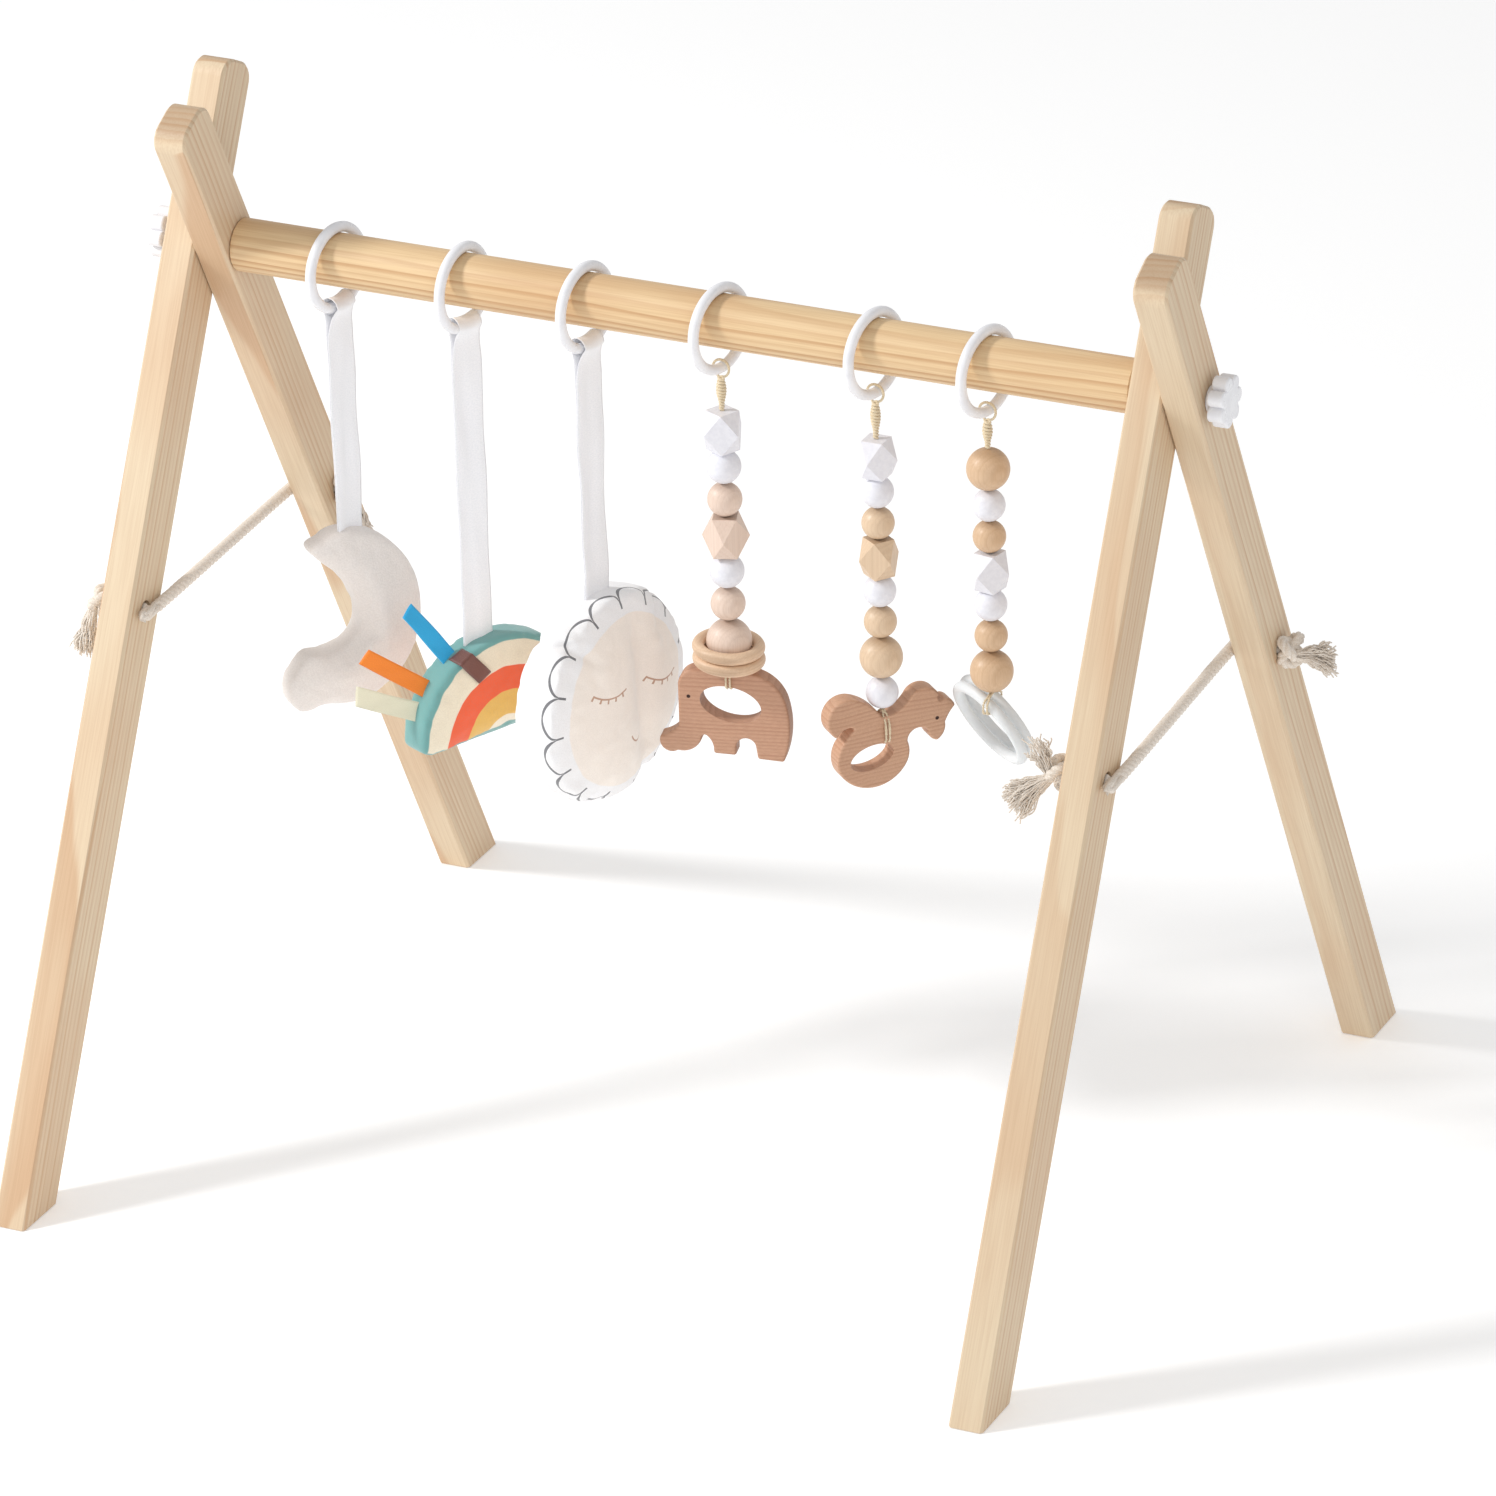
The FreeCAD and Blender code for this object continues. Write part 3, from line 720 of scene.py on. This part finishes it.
def cloth_finish(tree, shader, colour, pile):
    """Woven or piled cloth over the given colour; pile is the size of its tufts."""
    where = object_space(tree)
    tufts = add(
        tree, "ShaderNodeTexNoise", {"Vector": where, "Scale": 1.0 / pile, "Detail": 3.0, "Roughness": 0.6}
    )
    crush = add(tree, "ShaderNodeTexNoise", {"Vector": where, "Scale": 60.0, "Detail": 2.0})
    colour = blend_colour(
        tree, ramp(tree, tufts.outputs["Fac"], 0.3, 0.7, 0.0, 0.14), colour, (0.3, 0.26, 0.22, 1)
    )
    tree.links.new(colour, shader.inputs["Base Color"])
    shader.inputs["Roughness"].default_value = 0.88
    shader.inputs["Sheen Weight"].default_value = 0.35
    shader.inputs["Sheen Roughness"].default_value = 0.5
    height = math_node(
        tree, "ADD", tufts.outputs["Fac"], math_node(tree, "MULTIPLY", crush.outputs["Fac"], 1.5)
    )
    bump(tree, shader, height, pile * 0.5, 0.4)


# ---------------------------------------------------------------- moon
# A crescent of short-pile cream minky, softly filled.
moon_place = placed(-0.211, 0.328, 52)
moon_finish, tree, shader = material("cream_minky")
cloth_finish(tree, shader, linear(240, 233, 228), 0.0009)
moon_outline = (
    arc(-0.019, -0.0057, 0.0055, 150, 60, 5)
    + arc(-0.0125, -0.0495, 0.0515, 85, -98, 34)
    + arc(-0.0295, -0.090, 0.0145, -110, -205, 8)
    + [
        (-0.036, -0.0725),
        (-0.024, -0.069),
        (-0.0125, -0.063),
        (-0.0065, -0.055),
        (-0.005, -0.044),
        (-0.0075, -0.032),
        (-0.0125, -0.021),
        (-0.018, -0.013),
    ]
)
moon = stuffed("moon_cloth", moon_outline, 0.017, 7.0, moon_finish, moon_place, crown=0.004)
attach(moon, "moon_toy")
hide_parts("moon_plush")

# ---------------------------------------------------------------- rainbow
# A filled half round of printed velour with a teal side band and four ribbon tabs in the seam.
bow_at = (-0.133, 0.275, 64)  # X and Z of the middle of its top, and its turn
bow_finish, tree, shader = material("rainbow_velour")
spot, x, y, z = flat_position(tree, *bow_at)
dx = math_node(tree, "SUBTRACT", x, 0.008)
dz = math_node(tree, "ADD", z, 0.056)
r = hypotenuse(tree, dx, dz)
wobble = add(tree, "ShaderNodeTexNoise", {"Vector": spot, "Scale": 70.0, "Detail": 1.0})
r = math_node(
    tree,
    "ADD",
    r,
    math_node(tree, "MULTIPLY", math_node(tree, "SUBTRACT", wobble.outputs["Fac"], 0.5), 0.0014),
)
cream, red, mustard = linear(238, 228, 205), linear(236, 92, 48), linear(228, 184, 92)
pale, teal = linear(240, 232, 212), linear(110, 168, 166)
colour = blend_colour(tree, ramp(tree, r, 0.0103, 0.0109), pale, mustard)
colour = blend_colour(tree, ramp(tree, r, 0.0252, 0.0258), colour, red)
colour = blend_colour(tree, ramp(tree, r, 0.0392, 0.0398), colour, cream)
rim = ramp(tree, r, 0.0529, 0.0535)
wall = ramp(tree, math_node(tree, "ABSOLUTE", y), 0.0092, 0.0098, 1.0, 0.0)
foot = ramp(tree, dz, -0.0026, -0.002, 1.0, 0.0)
colour = blend_colour(
    tree, math_node(tree, "MAXIMUM", math_node(tree, "MAXIMUM", rim, wall), foot), colour, teal
)
cloth_finish(tree, shader, colour, 0.0007)
bow_outline = arc(0.008, -0.056, 0.056, 0, 180, 48) + [
    (-0.0475, -0.0585), (-0.044, -0.060), (0.060, -0.060), (0.0635, -0.0585)
]
bow = stuffed("rainbow_cloth", bow_outline, 0.0205, 5.0, bow_finish, placed(*bow_at), crown=0.002)
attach(bow, "rainbow_toy")
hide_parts("rainbow_plush")

# ---------------------------------------------------------------- sleeping face
# A round filled cushion of printed cotton: a cream face inside a white rim of petals drawn in
# charcoal, with closed eyes and a small smile.
stroke_tree, given, result = new_group(
    "Curved stroke",
    "ShaderNodeTree",
    [
        ("X", "Float"),
        ("Z", "Float"),
        ("Centre X", "Float"),
        ("Centre Z", "Float"),
        ("Radius", "Float"),
        ("Half width", "Float"),
        ("Half angle", "Float"),
        ("Lash", "Float"),
    ],
    [("Mask", "Float")],
)
sx = math_node(stroke_tree, "SUBTRACT", given.outputs["X"], given.outputs["Centre X"])
sz = math_node(stroke_tree, "SUBTRACT", given.outputs["Z"], given.outputs["Centre Z"])
far = hypotenuse(stroke_tree, sx, sz)
bearing = math_node(stroke_tree, "ARCTAN2", sx, math_node(stroke_tree, "MULTIPLY", sz, -1.0))
inside = math_node(
    stroke_tree, "LESS_THAN", math_node(stroke_tree, "ABSOLUTE", bearing), given.outputs["Half angle"]
)
off = math_node(stroke_tree, "ABSOLUTE", math_node(stroke_tree, "SUBTRACT", far, given.outputs["Radius"]))
line = math_node(stroke_tree, "LESS_THAN", off, given.outputs["Half width"])
beyond = math_node(stroke_tree, "SUBTRACT", far, given.outputs["Radius"])
in_lash = math_node(
    stroke_tree,
    "MULTIPLY",
    math_node(stroke_tree, "GREATER_THAN", beyond, 0.0),
    math_node(stroke_tree, "LESS_THAN", beyond, given.outputs["Lash"]),
)
step = math_node(
    stroke_tree,
    "FRACT",
    math_node(stroke_tree, "MULTIPLY", math_node(stroke_tree, "ADD", bearing, 3.0), 4.6),
)
thin = math_node(
    stroke_tree,
    "LESS_THAN",
    math_node(stroke_tree, "ABSOLUTE", math_node(stroke_tree, "SUBTRACT", step, 0.5)),
    0.11,
)
lashes = math_node(stroke_tree, "MULTIPLY", in_lash, thin)
mask = math_node(stroke_tree, "MULTIPLY", inside, math_node(stroke_tree, "MAXIMUM", line, lashes))
stroke_tree.links.new(mask, result.inputs["Mask"])

face_at, face_radius = (-0.058, 0.315, 79), 0.061
face_finish, tree, shader = material("face_cotton")
spot, x, y, z = flat_position(tree, *face_at)
dz = math_node(tree, "ADD", z, face_radius)
r = hypotenuse(tree, x, dz)
bearing = math_node(tree, "ARCTAN2", x, dz)
wrap = math_node(tree, "MAXIMUM", math_node(tree, "ADD", y, 0.0125), 0.0)
out = math_node(
    tree, "ADD", r, math_node(tree, "MULTIPLY", wrap, math_node(tree, "GREATER_THAN", r, 0.052))
)


def scallops(count, foot, rise, width):
    """A drawn row of half-round petals whose feet are at the distance foot from the middle."""
    turn = math_node(
        tree,
        "FRACT",
        math_node(tree, "MULTIPLY", math_node(tree, "ADD", bearing, 3.3), count / (2 * math.pi)),
    )
    across = math_node(tree, "SUBTRACT", math_node(tree, "MULTIPLY", turn, 2.0), 1.0)
    dome = math_node(
        tree,
        "SQRT",
        math_node(tree, "SUBTRACT", 1.0, math_node(tree, "MULTIPLY", across, across), clamp=True),
    )
    edge = math_node(tree, "ADD", math_node(tree, "MULTIPLY", dome, rise), foot)
    steep = math_node(
        tree, "ADD", math_node(tree, "MULTIPLY", math_node(tree, "ABSOLUTE", across), 2.2 * width), width
    )
    off = math_node(tree, "ABSOLUTE", math_node(tree, "SUBTRACT", out, edge))
    curve = math_node(tree, "LESS_THAN", off, steep)
    near = math_node(tree, "GREATER_THAN", math_node(tree, "ABSOLUTE", across), 0.94)
    low = math_node(
        tree, "LESS_THAN", math_node(tree, "ABSOLUTE", math_node(tree, "SUBTRACT", out, foot)), 0.002
    )
    return math_node(tree, "MAXIMUM", curve, math_node(tree, "MULTIPLY", near, low))


rim_row = math_node(
    tree, "MULTIPLY", scallops(18, 0.0885, -0.005, 0.0003), math_node(tree, "LESS_THAN", y, 0.009)
)
drawn = math_node(tree, "MAXIMUM", scallops(15, 0.0555, 0.0115, 0.0005), rim_row)
front = math_node(tree, "LESS_THAN", y, 0.0)
colour = blend_colour(tree, ramp(tree, out, 0.0492, 0.0502), linear(252, 243, 234), linear(250, 250, 252))
colour = blend_colour(tree, math_node(tree, "MULTIPLY", drawn, 0.85), colour, linear(62, 66, 76))
ca, sa = math.cos(math.radians(9)), math.sin(math.radians(9))
fx = math_node(tree, "SUBTRACT", math_node(tree, "MULTIPLY", x, ca), math_node(tree, "MULTIPLY", dz, sa))
fz = math_node(tree, "ADD", math_node(tree, "MULTIPLY", x, sa), math_node(tree, "MULTIPLY", dz, ca))
features = None
for cx, cz, rad, half, lash in (
    (-0.023, 0.033, 0.026, 0.52, 0.0028),
    (0.028, 0.033, 0.026, 0.52, 0.0028),
    (0.006, -0.0165, 0.0072, 1.15, 0.0),
):
    mark = tree.nodes.new("ShaderNodeGroup")
    mark.node_tree = stroke_tree
    for key, value in (
        ("Centre X", cx),
        ("Centre Z", cz),
        ("Radius", rad),
        ("Half width", 0.0005),
        ("Half angle", half),
        ("Lash", lash),
    ):
        mark.inputs[key].default_value = value
    tree.links.new(fx, mark.inputs["X"])
    tree.links.new(fz, mark.inputs["Z"])
    features = mark.outputs[0] if features is None else math_node(
        tree, "MAXIMUM", features, mark.outputs[0]
    )
colour = blend_colour(
    tree,
    math_node(tree, "MULTIPLY", math_node(tree, "MULTIPLY", features, front), 0.8),
    colour,
    linear(176, 120, 82),
)
cloth_finish(tree, shader, colour, 0.0005)
face = stuffed(
    "face_cloth",
    arc(0, -face_radius, face_radius, 90, -264, 59),
    0.027,
    6.0,
    face_finish,
    placed(*face_at),
    crease=0.014,
    crown=0.007,
)
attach(face, "face_toy")
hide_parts("face_plush")


# ---------------------------------------------------------------- rainbow's tabs
# Doubled satin ribbon tabs that stand out of the seam and bend a little at their ends.
def tab(name, angle, length, width, lie, colour, shade, curl, spin):
    """A flat tab that leaves the arch's seam at an angle up from its left foot."""
    rows = []
    a = math.radians(angle)
    for i in range(25):
        t = i / 24
        row = []
        for c in range(9):
            u = (c / 8 - 0.5) * width
            reach = 0.0545 + length * t * 0.93
            tip = t * spin
            side = u * math.cos(tip)
            ripple = 0.0006 * math.sin(7 * t + u * 300)
            depth = -lie * t * length + curl * t * t * length + u * math.sin(tip) + ripple
            flat = Vector(
                (
                    0.008 - reach * math.cos(a) + side * math.sin(a),
                    depth,
                    -0.056 + reach * math.sin(a) + side * math.cos(a),
                )
            )
            row.append(placed(*bow_at) @ flat)
        rows.append(row)
    piece = strip(name + "_ribbon", rows, satin(name + "_satin", colour, shade), 0.0009)
    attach(piece, "rainbow_toy")
    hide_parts(name)


tab("tab_pale", 24, 0.037, 0.011, -0.3, linear(236, 232, 208), linear(222, 216, 188), 0.15, 0.3)
tab("tab_orange", 38, 0.041, 0.010, -0.36, linear(250, 140, 25), linear(232, 120, 14), 0.1, -0.3)
tab("tab_blue", 60, 0.038, 0.010, -0.3, linear(30, 180, 232), linear(18, 156, 214), 0.1, 0.25)

rows = []
for i in range(29):
    t = i / 28 * 0.027
    if t < 0.0095:
        depth, fall = -0.0015 - t, 0.0006
    else:
        depth, fall = -0.0122 - 0.10 * (t - 0.0095), t - 0.0095
    row = []
    for c in range(7):
        u = (c / 6 - 0.5) * 0.01
        flat = Vector(
            (
                -0.0175 + u * 0.9 + fall * 0.62,
                depth - 0.0004 * math.sin(9 * i / 28 + u * 200),
                -0.0048 + u * 0.42 - fall * 0.78,
            )
        )
        row.append(placed(*bow_at) @ flat)
    rows.append(row)
brown = strip(
    "tab_brown_loop_ribbon", rows, satin("tab_brown_satin", linear(120, 72, 62), linear(96, 56, 48)), 0.0008
)
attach(brown, "rainbow_toy")
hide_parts("tab_brown_loop")

# ---------------------------------------------------------------- beads
# Turned and faceted wooden beads, bare or painted white, with a cord through their middles.
white_bead, tree, shader = material("white_bead_paint")
coat = add(tree, "ShaderNodeTexNoise", {"Vector": object_space(tree), "Scale": 420.0, "Detail": 3.0})
tree.links.new(
    blend_colour(
        tree, ramp(tree, coat.outputs["Fac"], 0.3, 0.7), linear(233, 233, 239), linear(226, 226, 233)
    ),
    shader.inputs["Base Color"],
)
tree.links.new(ramp(tree, coat.outputs["Fac"], 0.2, 0.8, 0.32, 0.46), shader.inputs["Roughness"])
bump(tree, shader, coat.outputs["Fac"], 0.00008, 0.4)
for string, string_x, tint in (
    ("elephant", 0.023, (230, 208, 192)),
    ("horse", 0.115, (224, 198, 168)),
    ("rings", 0.181, (216, 184, 150)),
):
    bare = timber(
        string + "_bead_wood",
        (0, 0, 0),
        (string_x - 0.021, 0.013, 0),
        0.0021,
        linear(*tint),
        linear(tint[0] - 22, tint[1] - 28, tint[2] - 32),
        contrast=0.28,
        rough=0.42,
    )
    for kind in ("facet_natural", "facet_white", "large_natural", "round_natural", "round_white"):
        node = "%s_beads_%s" % (string, kind)
        if node in bpy.data.objects:
            bead = dress(node, white_bead if kind.endswith("white") else bare)
            if kind.startswith("facet"):
                soften = bead.modifiers.new("Soft edges", "BEVEL")
                soften.width, soften.segments, soften.limit_method = 0.0007, 2, "ANGLE"

# ---------------------------------------------------------------- cords of the strings
# Waxed cotton cord: a bight round the ring, a wrapped knot under it, and the run through the beads.
cord_cotton = yarn("cord_cotton", linear(238, 226, 200), linear(206, 184, 146), 2600.0, 0.00012)
for toy, x, bead_top, bead_end in (
    ("elephant", 0.023, 0.437, 0.2871), ("horse", 0.115, 0.4352, 0.2756), ("rings", 0.181, 0.4402, 0.297)
):
    low = ring_foot
    body = toy + "_string"
    bight = []
    for i in range(29):
        a = math.radians(-66 + 312 * i / 28)
        bight.append(
            Vector((x + 0.005 * math.cos(a), 0.0007 * math.sin(a / 2), low + 0.005 * math.sin(a) - 0.0004))
        )
    bight = [Vector((x + 0.0006, 0, low - 0.009))] + bight + [Vector((x - 0.0006, 0, low - 0.009))]
    loop = twisted(
        "cord_%s_bight" % toy,
        [smooth_line(bight, 0.0005)],
        3,
        0.00042,
        0.00038,
        0.0032,
        cord_cotton,
        sides=6,
    )
    top, bottom = low - 0.0052, bead_top + 0.0006
    wrap = []
    turns = int((top - bottom) / 0.0017)
    for i in range(turns * 14 + 1):
        t = i / (turns * 14)
        a = 2 * math.pi * turns * t
        wide = 0.0009 + 0.0013 * math.sin(math.pi * min(1, t * 1.15 + 0.05)) ** 1.4
        wrap.append(Vector((x + wide * math.cos(a), wide * math.sin(a), top + (bottom - top) * t)))
    coil = twisted("cord_%s_wrap" % toy, [wrap], 1, 0.00082, 0.0, 1.0, cord_cotton, sides=8)
    run = [Vector((x, 0, low - 0.006 - (low - 0.006 - bead_end) * i / 60)) for i in range(61)]
    thread = twisted("cord_%s_run" % toy, [run], 3, 0.00044, 0.00042, 0.0032, cord_cotton, sides=6)
    for piece in (loop, coil, thread):
        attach(piece, body)
        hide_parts("cord_" + toy)

# ---------------------------------------------------------------- loose wooden rings
# Two turned maple rings that rest on the elephant's loop.
maple = timber(
    "maple",
    (math.radians(90), 0, 0),
    (0.05, 0.31, 0),
    0.0016,
    linear(228, 198, 168),
    linear(198, 160, 126),
    contrast=0.35,
    rough=0.5,
)
for node in ("wooden_ring_upper", "wooden_ring_lower"):
    dress(node, maple)

# ---------------------------------------------------------------- elephant and horse teethers
# Flat beech shapes with rounded edges, routed holes and drilled eyes, whose dark insides are painted shade;
# beech shows short dark flecks.
for node, x, z, turn, eye, light, dark in (
    ("elephant_teether", 0.021, 0.2815, 14, (-0.021, 0, -0.015), (200, 156, 128), (166, 118, 90)),
    ("horse_teether", 0.115, 0.2726, 48, (0.030, 0, -0.0075), (212, 170, 140), (176, 128, 98)),
):
    beech = timber(
        node + "_beech",
        (0, math.radians(-90), 0),
        (0.24, 0.02, 0),
        0.0024,
        linear(*light),
        linear(*dark),
        contrast=0.6,
        rough=0.5,
    )
    tree = beech.node_tree
    shader = tree.nodes["Principled BSDF"]
    where = object_space(tree)
    fleck_at = add(tree, "ShaderNodeVectorMath", {0: where, 1: (380, 380, 2200)}, operation="MULTIPLY")
    fleck = add(tree, "ShaderNodeTexVoronoi", {"Vector": fleck_at.outputs[0], "Scale": 1.0})
    base = shader.inputs["Base Color"].links[0].from_socket
    spots = ramp(tree, fleck.outputs["Distance"], 0.06, 0.2, 0.5, 0.0)
    spot, *_ = flat_position(tree, x, z, turn)
    level = add(tree, "ShaderNodeVectorMath", {0: spot, 1: (1, 0, 1)}, operation="MULTIPLY").outputs[0]
    apart = add(tree, "ShaderNodeVectorMath", {0: level, 1: eye}, operation="DISTANCE").outputs["Value"]
    flecked = blend_colour(tree, spots, base, linear(140, 92, 64))
    # painted shade: a dark brown disc at each eye stands for the shade inside the drilled hole
    eye_hole_shade = ramp(tree, apart, 0.0009, 0.0013, 1.0, 0.0)
    tree.links.new(blend_colour(tree, eye_hole_shade, flecked, linear(58, 32, 22)), shader.inputs["Base Color"])
    dress(node, beech)

# ---------------------------------------------------------------- loops that carry the teethers
# The cord comes out of the last bead, goes over the teether's back and through its hole, doubled.
for name, body, x, turn, top, low, half in (
    ("loop_elephant", "elephant", 0.023, 14, 0.2858, 0.2717, 0.0070),
    ("loop_horse", "horse", 0.115, 48, 0.2744, 0.255, 0.0070),
    ("loop_rings", "rings_string", 0.181, 0, 0.2962, 0.2852, 0.0096),
):
    lines = []
    for shift in (-0.0011, 0.0011):
        path = []
        for i in range(41):
            a = 2 * math.pi * i / 40 + math.pi / 2
            y = half * max(-1, min(1, 1.12 * math.cos(a)))
            lift = (top + low) / 2 + (top - low) / 2 * math.copysign(abs(math.sin(a)) ** 0.7, math.sin(a))
            narrow = 0.35 + 0.65 * min(1, (top - lift) / (0.35 * (top - low)))
            path.append(
                placed(x, 0, turn) @ Vector((shift * (1 if lift < top - 0.002 else 0.5), y * narrow, lift))
            )
        lines.append(path)
    loop = twisted(name + "_strands", lines, 3, 0.0004, 0.00036, 0.003, cord_cotton, sides=6)
    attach(loop, body)
    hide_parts(name)

# ---------------------------------------------------------------- soft rings
# Two frosted silicone rings, milky where they are thick.
silicone, tree, shader = material("frosted_silicone")
mist = add(tree, "ShaderNodeTexNoise", {"Vector": object_space(tree), "Scale": 200.0, "Detail": 2.0})
tree.links.new(
    blend_colour(tree, mist.outputs["Fac"], linear(232, 234, 235), linear(222, 226, 228)),
    shader.inputs["Base Color"],
)
tree.links.new(ramp(tree, mist.outputs["Fac"], 0.3, 0.7, 0.42, 0.5), shader.inputs["Roughness"])
shader.inputs["Subsurface Weight"].default_value = 0.4
shader.inputs["Subsurface Radius"].default_value = (0.004, 0.004, 0.004)
shader.inputs["IOR"].default_value = 1.41
bump(tree, shader, mist.outputs["Fac"], 0.00005, 0.3)
for node in ("soft_ring_front", "soft_ring_back"):
    dress(node, silicone)

# ---------------------------------------------------------------- floor, light and camera
# A pale seamless floor, a small key light from the upper left front and a weak fill from the right.
bpy.ops.mesh.primitive_plane_add(size=14, location=(0, 2, -0.0005))
floor = bpy.context.object
floor.name = "studio_floor"
floor_finish, tree, shader = material("floor_paper")
shader.inputs["Base Color"].default_value = (0.96, 0.96, 0.96, 1)
shader.inputs["Roughness"].default_value = 0.9
shader.inputs["Emission Color"].default_value = (1, 1, 1, 1)
shader.inputs["Emission Strength"].default_value = 0.2
floor.data.materials.append(floor_finish)

world = bpy.data.worlds.new("Studio")
bpy.context.scene.world = world
world.use_nodes = True
world.node_tree.nodes["Background"].inputs[0].default_value = (1, 1, 1, 1)
world.node_tree.nodes["Background"].inputs[1].default_value = 0.6
for name, spot, size, power in (("Key", (-2.15, -1.2, 2.1), 0.45, 56), ("Fill", (1.6, -2.4, 1.6), 2.0, 14)):
    lamp = bpy.data.lights.new(name, "AREA")
    lamp.size, lamp.energy = size, power
    holder = bpy.data.objects.new(name, lamp)
    holder.location = spot
    holder.rotation_euler = (Vector((0, 0, 0.25)) - Vector(spot)).to_track_quat("-Z", "Y").to_euler()
    bpy.context.scene.collection.objects.link(holder)

lens = bpy.data.cameras.new("Camera")
lens.sensor_width, lens.lens = 36, 216.4
lens.shift_x, lens.shift_y = -0.016, -0.0027
lens.clip_end = 40
camera = bpy.data.objects.new("Camera", lens)
camera.matrix_world = (
    Matrix.Translation((2.0156, -4.0145, 2.3659))
    @ Matrix.Rotation(math.radians(26.12), 4, "Z")
    @ Matrix.Rotation(math.radians(90 - 25.42), 4, "X")
    @ Matrix.Rotation(math.radians(-1.7), 4, "Z")
)
bpy.context.scene.collection.objects.link(camera)
bpy.context.scene.camera = camera

bpy.context.scene.view_settings.view_transform = "Standard"
